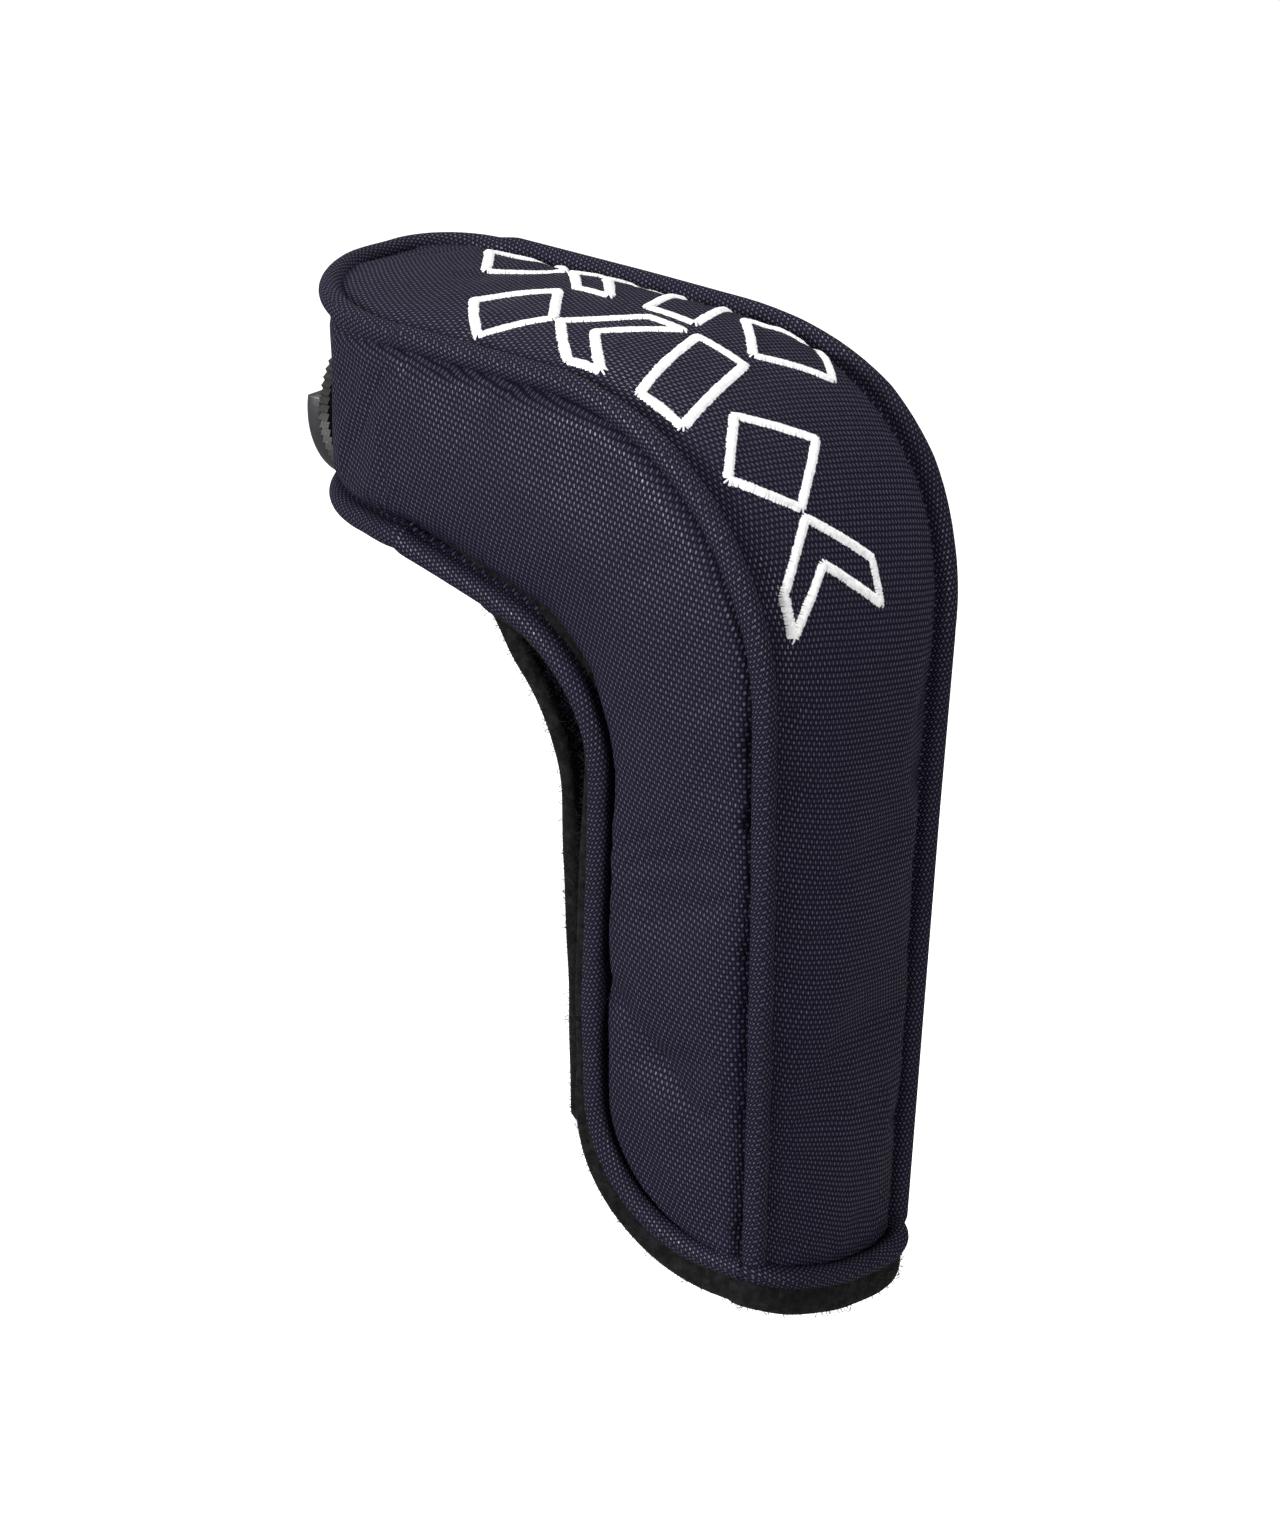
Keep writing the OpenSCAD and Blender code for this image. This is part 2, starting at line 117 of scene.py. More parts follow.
def make_floor():
    """One pale sheet under the cover."""
    low = cad_box[0][2] - FLOOR_DROP
    reach = 6.0
    data = bpy.data.meshes.new("floor")
    corners = [(x * reach, y * reach, low) for x, y in ((-1, -1), (1, -1), (1, 1), (-1, 1))]
    data.from_pydata(corners, [], [(0, 1, 2, 3)])
    floor = bpy.data.objects.new("floor", data)
    bpy.context.scene.collection.objects.link(floor)
    paint = bpy.data.materials.new("floor_paint")
    paint.use_nodes = True
    shader = paint.node_tree.nodes["Principled BSDF"]
    shader.inputs["Base Color"].default_value = (0.9, 0.9, 0.9, 1)
    shader.inputs["Roughness"].default_value = 0.9
    shader.inputs["Emission Color"].default_value = (1, 1, 1, 1)
    shader.inputs["Emission Strength"].default_value = 0.6
    floor.visible_diffuse = floor.visible_glossy = False
    data.materials.append(paint)


def make_world(seen_level=1.0, lit_level=0.3):
    """A white backdrop that lights the cover only weakly, so that the soft boxes shape it."""
    world = bpy.data.worlds.new("studio")
    world.use_nodes = True
    tree = world.node_tree
    sky = tree.nodes["Background"]
    sky.inputs["Color"].default_value = (1, 1, 1, 1)
    ray = tree.nodes.new("ShaderNodeLightPath")
    level = tree.nodes.new("ShaderNodeMapRange")
    level.inputs["To Min"].default_value = lit_level
    level.inputs["To Max"].default_value = seen_level
    tree.links.new(ray.outputs["Is Camera Ray"], level.inputs["Value"])
    tree.links.new(level.outputs[0], sky.inputs["Strength"])
    return world


make_floor()
area_light("key", (-0.45, -1.4, 0.7), 0.42, 33)
area_light("fill", (1.3, -0.5, 0.35), 0.6, 12)
area_light("top", (-0.15, 0.3, 1.4), 0.7, 13)
bpy.context.scene.world = make_world()
bpy.context.scene.view_settings.view_transform = "Standard"

# %% [markdown]
# ## Shader maths as Python
# A weave is a formula, and a formula is easier to read as Python than as a web of nodes. The class wraps
# a socket, so that `a * b + c` adds the Math nodes. Colours go through Mix nodes, because Math nodes lose
# colour.

# %% The socket class


class Wire:
    """An output socket whose operators add Math nodes."""

    def __init__(self, tree, socket):
        self.tree = tree
        self.socket = socket

    def math(self, operation, other=None, third=None, swap=False):
        node = self.tree.nodes.new("ShaderNodeMath")
        node.operation = operation
        order = [self, other, third]
        if swap:
            order[0], order[1] = order[1], order[0]
        for slot, value in zip(node.inputs, order):
            if isinstance(value, Wire):
                self.tree.links.new(value.socket, slot)
            elif value is not None:
                slot.default_value = value
        return Wire(self.tree, node.outputs[0])

    def __add__(self, other): return self.math("ADD", other)
    def __radd__(self, other): return self.math("ADD", other)
    def __sub__(self, other): return self.math("SUBTRACT", other)
    def __rsub__(self, other): return self.math("SUBTRACT", other, swap=True)
    def __mul__(self, other): return self.math("MULTIPLY", other)
    def __rmul__(self, other): return self.math("MULTIPLY", other)
    def __truediv__(self, other): return self.math("DIVIDE", other)
    def __pow__(self, other): return self.math("POWER", other)

    def node(self, kind, settings=None, outlet=0, **inputs):
        return add_node(self.tree, kind, settings, outlet, **inputs)


def add_node(tree, kind, settings=None, outlet=0, **inputs):
    """Any other node: its settings first, then the values or links of its sockets, with _ for a space."""
    node = tree.nodes.new(kind)
    for key, value in (settings or {}).items():
        setattr(node, key, value)
    for key, value in inputs.items():
        name = key.replace("_", " ")
        slot = node.inputs[int(name[1:])] if name[0] == "n" and name[1:].isdigit() else node.inputs[name]
        if isinstance(value, Wire):
            tree.links.new(value.socket, slot)
        else:
            slot.default_value = value
    return Wire(tree, node.outputs[outlet])


def smooth(value, low, high):
    """0 below low, 1 above high, and a smooth step between."""
    return value.node("ShaderNodeMapRange", {"interpolation_type": "SMOOTHSTEP"},
                      Value=value, From_Min=low, From_Max=high)


def blend_colour(tree, factor, first, second):
    """A mix of two colours by a factor."""
    return add_node(tree, "ShaderNodeMix", {"data_type": "RGBA"}, 2, n0=factor, n6=first, n7=second)


def new_material(name, roughness=0.6, sheen=0.0):
    """A material with its Principled shader ready; returns material, tree and shader."""
    material = bpy.data.materials.new(name)
    material.use_nodes = True
    tree = material.node_tree
    shader = tree.nodes["Principled BSDF"]
    shader.inputs["Roughness"].default_value = roughness
    shader.inputs["Sheen Weight"].default_value = sheen
    return material, tree, shader


def set_bump(tree, shader, height, distance):
    """Relief from a height, over a distance in metres."""
    bump = add_node(tree, "ShaderNodeBump", None, 0, Height=height, Strength=1.0, Distance=distance)
    tree.links.new(bump.socket, shader.inputs["Normal"])


# %% [markdown]
# ## The woven fabric
# The shell is a coarse plain weave of twisted yarn: floats in a checkerboard, 0.64 mm apart across
# and 1.28 mm apart along. Their lighter colour is a painted highlight on the raised yarn, and the dark base
# between them is painted shade. The product of two cosines has its peaks in just that checkerboard, and a
# slight skew makes the diagonal that the eye follows. The glossy float is a coat, strongest on the lightest
# yarn. It reads a UV map in millimetres, so it follows each panel's own grain. A bias turn of 45
# degrees gives the piping.

# %% Woven cloth
WARP_MM = 0.64
WEFT_MM = 1.28
SKEW = 0.2
YARN_HEIGHT = 0.34 * MM


def woven(name, base, float_highlight_colour, turn=0.0, warp=WARP_MM, weft=WEFT_MM):
    """Plain-woven cloth on the UV map, turned by an angle in radians. warp and weft are in mm."""
    material, tree, shader = new_material(name, 0.62)
    uv = add_node(tree, "ShaderNodeUVMap", {"uv_map": "cloth"})
    where = add_node(tree, "ShaderNodeTexCoord", None, 3)
    wobble = add_node(tree, "ShaderNodeTexNoise", {"noise_dimensions": "3D"}, 1,
                      Vector=where, Scale=140.0, Detail=2.0)
    wander = wobble.node("ShaderNodeVectorMath", {"operation": "MULTIPLY_ADD"}, 0,
                         n0=wobble, n1=(0.34, 0.34, 0.0), n2=(-0.17, -0.17, 0.0))
    placed = wobble.node("ShaderNodeVectorMath", {"operation": "ADD"}, 0, n0=uv, n1=wander)
    turned = wobble.node("ShaderNodeVectorRotate", {"rotation_type": "Z_AXIS"}, 0, Vector=placed, Angle=turn)
    across = wobble.node("ShaderNodeSeparateXYZ", None, 0, Vector=turned)
    along = wobble.node("ShaderNodeSeparateXYZ", None, 1, Vector=turned) + across * SKEW
    column = (across * (math.pi / warp)).math("COSINE")
    row = (along * (math.pi / weft)).math("COSINE")
    lattice = column * row
    floats = smooth(lattice, 0.16, 0.8)
    under = smooth(lattice * -1.0, 0.25, 0.95)
    strand = add_node(tree, "ShaderNodeTexNoise", {"noise_dimensions": "3D"}, 0,
                      Vector=turned.node("ShaderNodeVectorMath", {"operation": "MULTIPLY"}, 0,
                                         n0=turned, n1=(5.0, 1.2, 1.0)),
                      Scale=1.0, Detail=3.0)
    broad = add_node(tree, "ShaderNodeTexNoise", {"noise_dimensions": "3D"}, 0,
                     Vector=where, Scale=28.0, Detail=3.0)
    yarn = smooth(strand, 0.36, 0.66)
    # Floats get a painted highlight colour over the dark base, which is painted shade in the gaps; yarn and
    # broad noise vary the tone.
    float_highlight_and_tone = (floats * (0.45 + 0.55 * yarn) + under * 0.16) * (0.72 + 0.5 * broad)
    colour = blend_colour(tree, float_highlight_and_tone.math("MINIMUM", 1.0), (*base, 1), (*float_highlight_colour, 1))
    tree.links.new(colour.socket, shader.inputs["Base Color"])
    tree.links.new((0.72 - floats * 0.3).socket, shader.inputs["Roughness"])
    shader.inputs["Specular IOR Level"].default_value = 0.05
    shader.inputs["Coat Roughness"].default_value = 0.42
    tree.links.new((floats * yarn).socket, shader.inputs["Coat Weight"])
    height = floats * 0.8 + under * 0.35 + yarn * 0.12
    set_bump(tree, shader, height, YARN_HEIGHT)
    return material


# The second colour of each weave is the painted highlight on its floats, the first the painted shade between
# them.
navy_cloth = woven("navy_cloth", (0.0070, 0.0058, 0.0150), (0.092, 0.086, 0.126))
navy_bias = woven("navy_bias", (0.0066, 0.0056, 0.0140), (0.095, 0.088, 0.128), math.radians(45), 0.62, 1.05)
print("cloths:", navy_cloth.name, navy_bias.name)

# %% [markdown]
# ## Fleece, foam, thread and plastic
# Fleece scatters light and has no grain, so it is noise at two scales with a faint sheen. The charcoal
# foam shows only where the layers end, and its dark colour paints the shade in those gaps. Satin thread is
# white with fine twist lines. The dial is moulded plastic: a satin grey cap and a black wheel, both with a
# fine speckle and cloudy gloss.

# %% Other finishes


def fleece_material():
    """Black fleece: clumps of fibre with paler specks."""
    material, tree, shader = new_material("black_fleece", 0.95, 0.04)
    shader.inputs["Specular IOR Level"].default_value = 0.1
    where = add_node(tree, "ShaderNodeTexCoord", None, 3)
    fine = add_node(tree, "ShaderNodeTexNoise", None, 0, Vector=where, Scale=1900.0, Detail=4.0)
    clump = add_node(tree, "ShaderNodeTexNoise", None, 0, Vector=where, Scale=420.0, Detail=3.0)
    speck = smooth(fine, 0.6, 0.8)
    shade = (smooth(clump, 0.35, 0.75) * 0.5 + speck * 0.5)
    colour = blend_colour(tree, shade, (0.0035, 0.0034, 0.0038, 1), (0.022, 0.021, 0.023, 1))
    tree.links.new(colour.socket, shader.inputs["Base Color"])
    set_bump(tree, shader, fine * 0.4 + clump, 0.0006)
    return material


def foam_material():
    """Charcoal foam with fine open cells."""
    material, tree, shader = new_material("foam", 0.9)
    where = add_node(tree, "ShaderNodeTexCoord", None, 3)
    cells = add_node(tree, "ShaderNodeTexVoronoi", None, 0, Vector=where, Scale=1500.0)
    # The charcoal colour also paints the shade in the seam gaps where the foam shows.
    colour = blend_colour(tree, smooth(cells, 0.1, 0.7), (0.014, 0.014, 0.015, 1), (0.028, 0.028, 0.030, 1))
    tree.links.new(colour.socket, shader.inputs["Base Color"])
    set_bump(tree, shader, cells, 0.0003)
    return material


def thread_material():
    """White satin thread with a fine twist."""
    material, tree, shader = new_material("satin_thread", 0.45, 0.3)
    where = add_node(tree, "ShaderNodeTexCoord", None, 3)
    twist = add_node(tree, "ShaderNodeTexNoise", None, 0, Vector=where, Scale=900.0, Detail=2.0)
    colour = blend_colour(tree, smooth(twist, 0.3, 0.7), (0.74, 0.74, 0.75, 1), (0.93, 0.93, 0.92, 1))
    tree.links.new(colour.socket, shader.inputs["Base Color"])
    set_bump(tree, shader, twist, 0.0001)
    return material


def moulded(name, dark, light, roughness):
    """Moulded plastic or metal between two close colours."""
    material, tree, shader = new_material(name, roughness)
    where = add_node(tree, "ShaderNodeTexCoord", None, 3)
    grain = add_node(tree, "ShaderNodeTexNoise", None, 0, Vector=where, Scale=2600.0, Detail=2.0)
    cloud = add_node(tree, "ShaderNodeTexNoise", None, 0, Vector=where, Scale=160.0, Detail=3.0)
    mix = smooth(grain, 0.35, 0.7) * 0.5 + smooth(cloud, 0.35, 0.65) * 0.5
    colour = blend_colour(tree, mix, (*dark, 1), (*light, 1))
    tree.links.new(colour.socket, shader.inputs["Base Color"])
    tree.links.new((roughness - 0.06 + cloud * 0.12).socket, shader.inputs["Roughness"])
    set_bump(tree, shader, grain, 0.00008)
    return material


fleece = fleece_material()
foam = foam_material()
thread = thread_material()
cap_grey = moulded("cap_grey", (0.021, 0.0215, 0.023), (0.031, 0.032, 0.035), 0.42)
wheel_black = moulded("wheel_black", (0.018, 0.018, 0.019), (0.035, 0.035, 0.037), 0.4)
ink_white = moulded("ink_white", (0.8, 0.8, 0.79), (0.88, 0.88, 0.87), 0.5)
steel = moulded("steel", (0.55, 0.55, 0.57), (0.66, 0.66, 0.68), 0.3)
steel.node_tree.nodes["Principled BSDF"].inputs["Metallic"].default_value = 1.0
print("finishes:", sorted(material.name for material in bpy.data.materials))

# %% [markdown]
# ## Seams
# Every wall is a strip between two seams, and every seam is a few straight runs joined by arcs. The frame
# gives the toe and the two side walls. The seams' own heights follow, in millimetres, with the outer
# panel leaning out a little upwards. A corner helper turns points and radii into a path.

# %% Path helpers
NEAR, FAR = -1, 1


def corner_arc(a, b, c, radius, count=14):
    """The arc that rounds corner b between points a and c."""
    a, b, c = (np.array(p, float) for p in (a, b, c))
    u = (a - b) / np.linalg.norm(a - b)
    v = (c - b) / np.linalg.norm(c - b)
    half = math.acos(np.clip(u @ v, -1, 1)) / 2
    middle = b + (u + v) / np.linalg.norm(u + v) * radius / math.sin(half)
    start = b + u * radius / math.tan(half) - middle
    end = b + v * radius / math.tan(half) - middle
    first = math.atan2(start[1], start[0])
    turn = (math.atan2(end[1], end[0]) - first + math.pi) % (2 * math.pi) - math.pi
    angles = first + turn * np.linspace(0, 1, count + 1)
    return middle + radius * np.stack([np.cos(angles), np.sin(angles)], 1)


def lengths(points):
    """Distance along a path at each of its points."""
    return np.r_[0, np.cumsum(np.linalg.norm(np.diff(points, axis=0), axis=1))]


def at_fractions(points, fractions):
    """Points at fractions of a path's length."""
    points = np.asarray(points, float)
    run = lengths(points)
    return np.stack([np.interp(np.asarray(fractions) * run[-1], run, column) for column in points.T], 1)


def ease(value, low, high):
    """0 up to low, 1 from high on, and a smooth step between."""
    t = np.clip((value - low) / (high - low), 0, 1)
    return t * t * (3 - 2 * t)


# %% Driving dimensions, in millimetres
TOE_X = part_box("near_head_band")[0].x / MM
NEAR_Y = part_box("flap_panel")[0].y / MM
HEAD_FAR_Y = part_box("far_side_band")[1].y / MM
HEM_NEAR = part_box("flap_panel")[0].z / MM + 0.8
NECK_OUTER_X = 24.3
NECK_LEAN = 0.0403
TOP_Z = 214.9
TOP_RISE = 0.046
HEAD_SOLE_Z = 166.6
INNER_X = -26.8
INNER_BEND_Z = 151.6
BEND_Z = (TOP_Z - TOP_RISE * (NECK_OUTER_X + 40)) / (1 + TOP_RISE * NECK_LEAN)
TOE_MIDDLE_Y = 19.0
NEAR_TOE_R = 48.0
FAR_TOE_R = 18.0
FAR_TOE_Y = HEAD_FAR_Y - 1.0
HEAD_START_X = TOE_X + NEAR_TOE_R
WAIST_Z = 50
OFF_TOE_X = -200
FAR_CORNER_X = -104
SEAM_SINK = 0.8
print("toe at", round(TOE_X, 1), "near wall at", round(NEAR_Y, 1), "far wall at", round(HEAD_FAR_Y, 1))


def outer_x(z):
    """The neck's outer face at a height."""
    return NECK_OUTER_X + NECK_LEAN * z


def top_z(x):
    """The head's top face at a place along the head."""
    return TOP_Z - TOP_RISE * (x + 40)


# %% Seams in side view
bend = corner_arc((outer_x(0), 0), (outer_x(BEND_Z), BEND_Z), (OFF_TOE_X, top_z(OFF_TOE_X)), 64, 24)
outer_runs = [
    np.array([(outer_x(HEM_NEAR), HEM_NEAR), (outer_x(WAIST_Z), WAIST_Z)]),
    np.array([(outer_x(WAIST_Z), WAIST_Z), bend[0]]),
    bend,
    np.array([bend[-1], (HEAD_START_X, top_z(HEAD_START_X))]),
]
EDGE_HEAD_Z = 171.4
TOE_EDGE_Z = 170.4
EDGE = [(OFF_TOE_X, EDGE_HEAD_Z), (-80, EDGE_HEAD_Z), (-11.8, 152.7), (-18.6, 62), (-18.6, HEM_NEAR),
        (outer_x(HEM_NEAR), HEM_NEAR)]
hem_corner = corner_arc(EDGE[3], EDGE[4], EDGE[5], 32, 18)[::-1]
edge_waist = corner_arc(EDGE[2], EDGE[3], EDGE[4], 120, 8)[::-1]
edge_bend = corner_arc(EDGE[1], EDGE[2], EDGE[3], 38, 16)[::-1]
edge_head = corner_arc(EDGE[0], EDGE[1], EDGE[2], 60, 6)[::-1]
edge_head = edge_head[edge_head[:, 0] > HEAD_START_X - 0.1]
edge_runs = [
    hem_corner,
    np.vstack([hem_corner[-1:], edge_waist, edge_bend[:1]]),
    edge_bend,
    np.vstack([edge_bend[-1:], edge_head, [(HEAD_START_X, TOE_EDGE_Z)]]),
]
INNER = [(OFF_TOE_X, HEAD_SOLE_Z), (-85, HEAD_SOLE_Z), (INNER_X, INNER_BEND_Z), (INNER_X, 0)]
inner_bend = corner_arc(INNER[1], INNER[2], INNER[3], 50, 20)[::-1]

# %% Toe seams in plan view
near_toe = corner_arc((60, NEAR_Y), (TOE_X, NEAR_Y), (TOE_X, HEAD_FAR_Y), NEAR_TOE_R, 24)
far_toe = corner_arc((TOE_X, NEAR_Y), (TOE_X, HEAD_FAR_Y), (60, HEAD_FAR_Y), FAR_TOE_R, 12)[::-1]
print("runs on the near side:", len(outer_runs), "bend points:", len(bend))

# %% [markdown]
# ## From seams to walls
# A wall is a grid of points. Its rows run from one seam to the other, and its columns run along the
# seams. The fill pushes the middle of each row outwards. The lining side follows at the thickness of each
# layer, so the fabric, the foam and the fleece of one wall come from one grid.

# %% Grids
SPINE = np.array([(0, 0, -20), (0, 0, 150), (-12, 0, 178), (-40, 0, 190), (-105, 3, 190)], float)


def join_runs(runs, counts):
    """Several runs sampled to so many points each, without repeating the shared ends."""
    parts = [at_fractions(run, np.linspace(0, 1, count + 1))[(0 if k == 0 else 1):]
             for k, (run, count) in enumerate(zip(runs, counts))]
    return np.vstack(parts)


def nearest_spine(points):
    """The spine's nearest point to each point."""
    a, b = SPINE[:-1], SPINE[1:]
    t = np.clip(((points[:, None] - a) * (b - a)).sum(2) / ((b - a) ** 2).sum(1), 0, 1)
    near = a + t[..., None] * (b - a)
    pick = np.linalg.norm(points[:, None] - near, axis=2).argmin(1)
    return near[np.arange(len(pick)), pick]


def grid_normals(grid):
    """Unit normals of a grid, pointing away from the spine of the cover."""
    along = np.gradient(grid, axis=0)
    across = np.gradient(grid, axis=1)
    normal = np.cross(along, across)
    normal /= np.linalg.norm(normal, axis=2, keepdims=True) + 1e-12
    out = grid - nearest_spine(grid.reshape(-1, 3)).reshape(grid.shape)
    return normal * (1 if (normal * out).sum() > 0 else -1)


TUCK = 4.2
TUCK_WIDTH = 3.2


def ruled(first, second, columns, crown, fullness=0.45):
    """Rows between two seams, pushed out by each row's crown in mm, and tucked in at the seams."""
    t = np.linspace(0, 1, columns + 1)
    t = 0.5 - 0.5 * np.cos(math.pi * t) * 0.55 + (t - 0.5) * 0.45
    grid = first[:, None] * (1 - t)[None, :, None] + second[:, None] * t[None, :, None]
    swell = np.clip(4 * t * (1 - t), 0, 1) ** fullness
    width = np.linalg.norm(second - first, axis=1)[:, None]
    tuck = TUCK * (np.exp(-(t * width / TUCK_WIDTH) ** 2) + np.exp(-((1 - t) * width / TUCK_WIDTH) ** 2))
    return grid + grid_normals(grid) * (np.asarray(crown)[:, None] * swell[None] - tuck)[..., None]


def make_mesh(name, points, faces, uv=None):
    """A mesh object in metres from points in millimetres, with normals outwards and a UV map in mm."""
    data = bpy.data.meshes.new(name)
    data.from_pydata((np.asarray(points) * MM).tolist(), [], faces)
    if uv is not None:
        layer = data.uv_layers.new(name="cloth")
        corner = np.empty(len(data.loops), int)
        data.loops.foreach_get("vertex_index", corner)
        layer.data.foreach_set("uv", np.asarray(uv, np.float32)[corner].ravel())
    work = bmesh.new()
    work.from_mesh(data)
    bmesh.ops.recalc_face_normals(work, faces=work.faces)
    work.to_mesh(data)
    work.free()
    data.shade_smooth()
    thing = bpy.data.objects.new(name, data)
    bpy.context.scene.collection.objects.link(thing)
    return thing


def slab_faces(rows, columns):
    """Faces of a closed slab: a front grid, a back grid and the border between them."""
    front = np.arange(rows * columns).reshape(rows, columns)
    rear = front + rows * columns
    quads = []
    for sheet, flip in ((front, False), (rear, True)):
        a, b, c, d = sheet[:-1, :-1], sheet[1:, :-1], sheet[1:, 1:], sheet[:-1, 1:]
        loop = (d, c, b, a) if flip else (a, b, c, d)
        quads += np.stack([q.ravel() for q in loop], 1).tolist()
    rim = np.r_[front[0, :-1], front[:-1, -1], front[-1, :0:-1], front[:0:-1, 0]]
    shift = rows * columns
    for k in range(len(rim)):
        a, b = int(rim[k]), int(rim[(k + 1) % len(rim)])
        quads.append([b, a, a + shift, b + shift])
    return quads


def layer_of(name, grid, uv, shallow, deep, material):
    """One layer of a wall, between two depths under its outer face."""
    normal = grid_normals(grid)
    front, rear = grid - normal * shallow, grid - normal * deep
    points = np.vstack([front.reshape(-1, 3), rear.reshape(-1, 3)])
    rows, columns = grid.shape[:2]
    flat = uv.reshape(-1, 2)
    thing = make_mesh(name, points, slab_faces(rows, columns), np.vstack([flat, flat]))
    thing.data.materials.append(material)
    return thing


# %% The near wall's seams
DENSE = 2
NEAR_ROWS = [16 * DENSE, 26 * DENSE, 30 * DENSE, 16 * DENSE]
TOE_ROWS = 24 * DENSE


def near_wall_y(x, z):
    """The near wall leans in towards the hem, and steps out along the head."""
    neck = -np.interp(z, [0, 50, 104, 150, 180, 219], [28.6, 30.0, 32.2, 35.0, 35.5, 33.5])
    return neck + (NEAR_Y - neck) * ease(-x, 15, 70)


def far_wall_y(x, z):
    """The far wall does the same, with a fuller bend."""
    neck = np.interp(z, [-10, 50, 104, 150, 170, 186, 200, 212, 219],
                     [28.8, 30.2, 31.5, 33.2, 36.2, 39.4, 40.4, 38.0, 35.0])
    return neck + (FAR_TOE_Y - neck) * ease(-x, 5, 66)


def lift_side(path, wall_y):
    """A side-view path in space. The far seam sinks a little along the head."""
    y = wall_y(path[:, 0], path[:, 1])
    sink = SEAM_SINK * ease(-path[:, 0], -5, 25) * ease(y, 0, 20) * ease(path[:, 1], 190, 210)
    return np.stack([path[:, 0], y, path[:, 1] - sink], 1)


near_top = lift_side(join_runs(outer_runs, NEAR_ROWS), near_wall_y)
near_low = lift_side(join_runs(edge_runs, NEAR_ROWS), near_wall_y)
toe_plan = at_fractions(np.vstack([near_toe, [(TOE_X, TOE_MIDDLE_Y)]]), np.linspace(0, 1, TOE_ROWS + 1))[1:]
toe_top = np.column_stack([toe_plan, top_z(toe_plan[:, 0])])
toe_low = np.column_stack([toe_plan, np.linspace(TOE_EDGE_Z, TOE_EDGE_Z - 0.6, TOE_ROWS)])
near_seam = np.vstack([near_top, toe_top])
near_edge = np.vstack([near_low, toe_low])
plan_run = np.r_[near_top[:, 0], HEAD_START_X - lengths(np.vstack([[(HEAD_START_X, NEAR_Y)], toe_plan]))[1:]]
print("near wall rows:", len(near_seam))

# %% The far wall's seams
FAR_ROWS = [16 * DENSE, 26 * DENSE, 30 * DENSE, 22 * DENSE]
HEM = np.array([(-34.0, 7.0), (-19.5, 1.8), (-2.6, -3.6), (14.7, -6.6), (23.3, -6.4), (31.0, -5.2)])


def hem_height(y):
    """The hem of the outer, far and inner walls sags towards the far side."""
    return np.interp(y, HEM[:, 0], HEM[:, 1])


HEM_FAR = float(hem_height(30.0))
far_outer_runs = [
    np.array([(outer_x(HEM_FAR), HEM_FAR), (outer_x(WAIST_Z), WAIST_Z)]),
    outer_runs[1], outer_runs[2],
    np.array([bend[-1], (FAR_CORNER_X, top_z(FAR_CORNER_X))]),
]
far_inner_runs = [
    np.array([(INNER_X, HEM_FAR), (INNER_X, WAIST_Z)]),
    np.vstack([[(INNER_X, WAIST_Z)], inner_bend[:1]]),
    inner_bend,
    np.vstack([inner_bend[-1:], [(FAR_CORNER_X, HEAD_SOLE_Z)]]),
]
far_top = lift_side(join_runs(far_outer_runs, FAR_ROWS), far_wall_y)
far_low = lift_side(join_runs(far_inner_runs, FAR_ROWS), far_wall_y)
far_plan = at_fractions(np.vstack([far_toe + [0, -1.0], [(TOE_X, TOE_MIDDLE_Y + 0.2)]]),
                        np.linspace(0, 1, TOE_ROWS + 1))[1:]
far_top_z = top_z(far_plan[:, 0]) - SEAM_SINK * ease(far_plan[:, 1], 0, 20)
far_seam = np.vstack([far_top, np.column_stack([far_plan, far_top_z])])
far_edge_z = np.linspace(HEAD_SOLE_Z, TOE_EDGE_Z - 0.6, TOE_ROWS)
far_edge = np.vstack([far_low, np.column_stack([far_plan, far_edge_z])])
print("far wall rows:", len(far_seam), "hem falls to", HEM[:, 1].min(), "mm")

# %% The outer and inner walls' seams
TOE_GROW = 0.8
TOE_END_X = TOE_X - TOE_GROW + 0.6

top_path = join_runs(
    [np.array([(outer_x(0), 0), (outer_x(WAIST_Z), WAIST_Z)]), outer_runs[1], outer_runs[2],
     np.array([bend[-1], (TOE_END_X, top_z(TOE_END_X))])],
    [16 * DENSE, 26 * DENSE, 30 * DENSE, 42 * DENSE])


def plan_edge(x, side):
    """Where the wall stands in plan at x, rounding both corners of the toe."""
    radius = (NEAR_TOE_R if side == NEAR else FAR_TOE_R) + TOE_GROW
    turn = np.clip((TOE_X - TOE_GROW + radius - x) / radius, 0, 1)
    inset = radius * (1 - np.sqrt(1 - turn ** 2))
    return NEAR_Y - TOE_GROW + inset if side == NEAR else FAR_TOE_Y + TOE_GROW - inset


def strip_seam(path, side):
    """The outer or inner wall's seam on one side, kept inside the rounded toe."""
    wall = near_wall_y if side == NEAR else far_wall_y
    y = wall(path[:, 0], path[:, 1])
    edge = plan_edge(path[:, 0], side)
    y = np.maximum(y, edge) if side == NEAR else np.minimum(y, edge)
    return lift_side(path, lambda x, z: y)


outer_near = strip_seam(top_path, NEAR)
outer_far = strip_seam(top_path, FAR)
strip_run = lengths(top_path)
sole_path = join_runs(
    [np.array([(INNER_X, 0), (INNER_X, WAIST_Z)]), np.vstack([[(INNER_X, WAIST_Z)], inner_bend[:1]]),
     inner_bend, np.vstack([inner_bend[-1:], [(TOE_END_X, HEAD_SOLE_Z)]])],
    [16 * DENSE, 26 * DENSE, 30 * DENSE, 40 * DENSE])
inner_near = strip_seam(sole_path, NEAR) + [0, 7.0, 0]
inner_near[:, 1] = np.minimum(inner_near[:, 1], inner_near[-1, 1])
inner_far = strip_seam(sole_path, FAR)
print("strip length round the outside:", round(strip_run[-1]), "mm")

# %% [markdown]
# ## Letting the cloth settle
# Each wall is blown up a little from behind, with its seams pinned, and the solver finds where the fabric
# puckers. The back of the pillow is pinned too, because the foam is glued to the lining. A cap on the
# move keeps the result close to the drawn shape.

# %% Cloth
CLOTH_FRAMES = 16
MOST_MOVE = 3.2


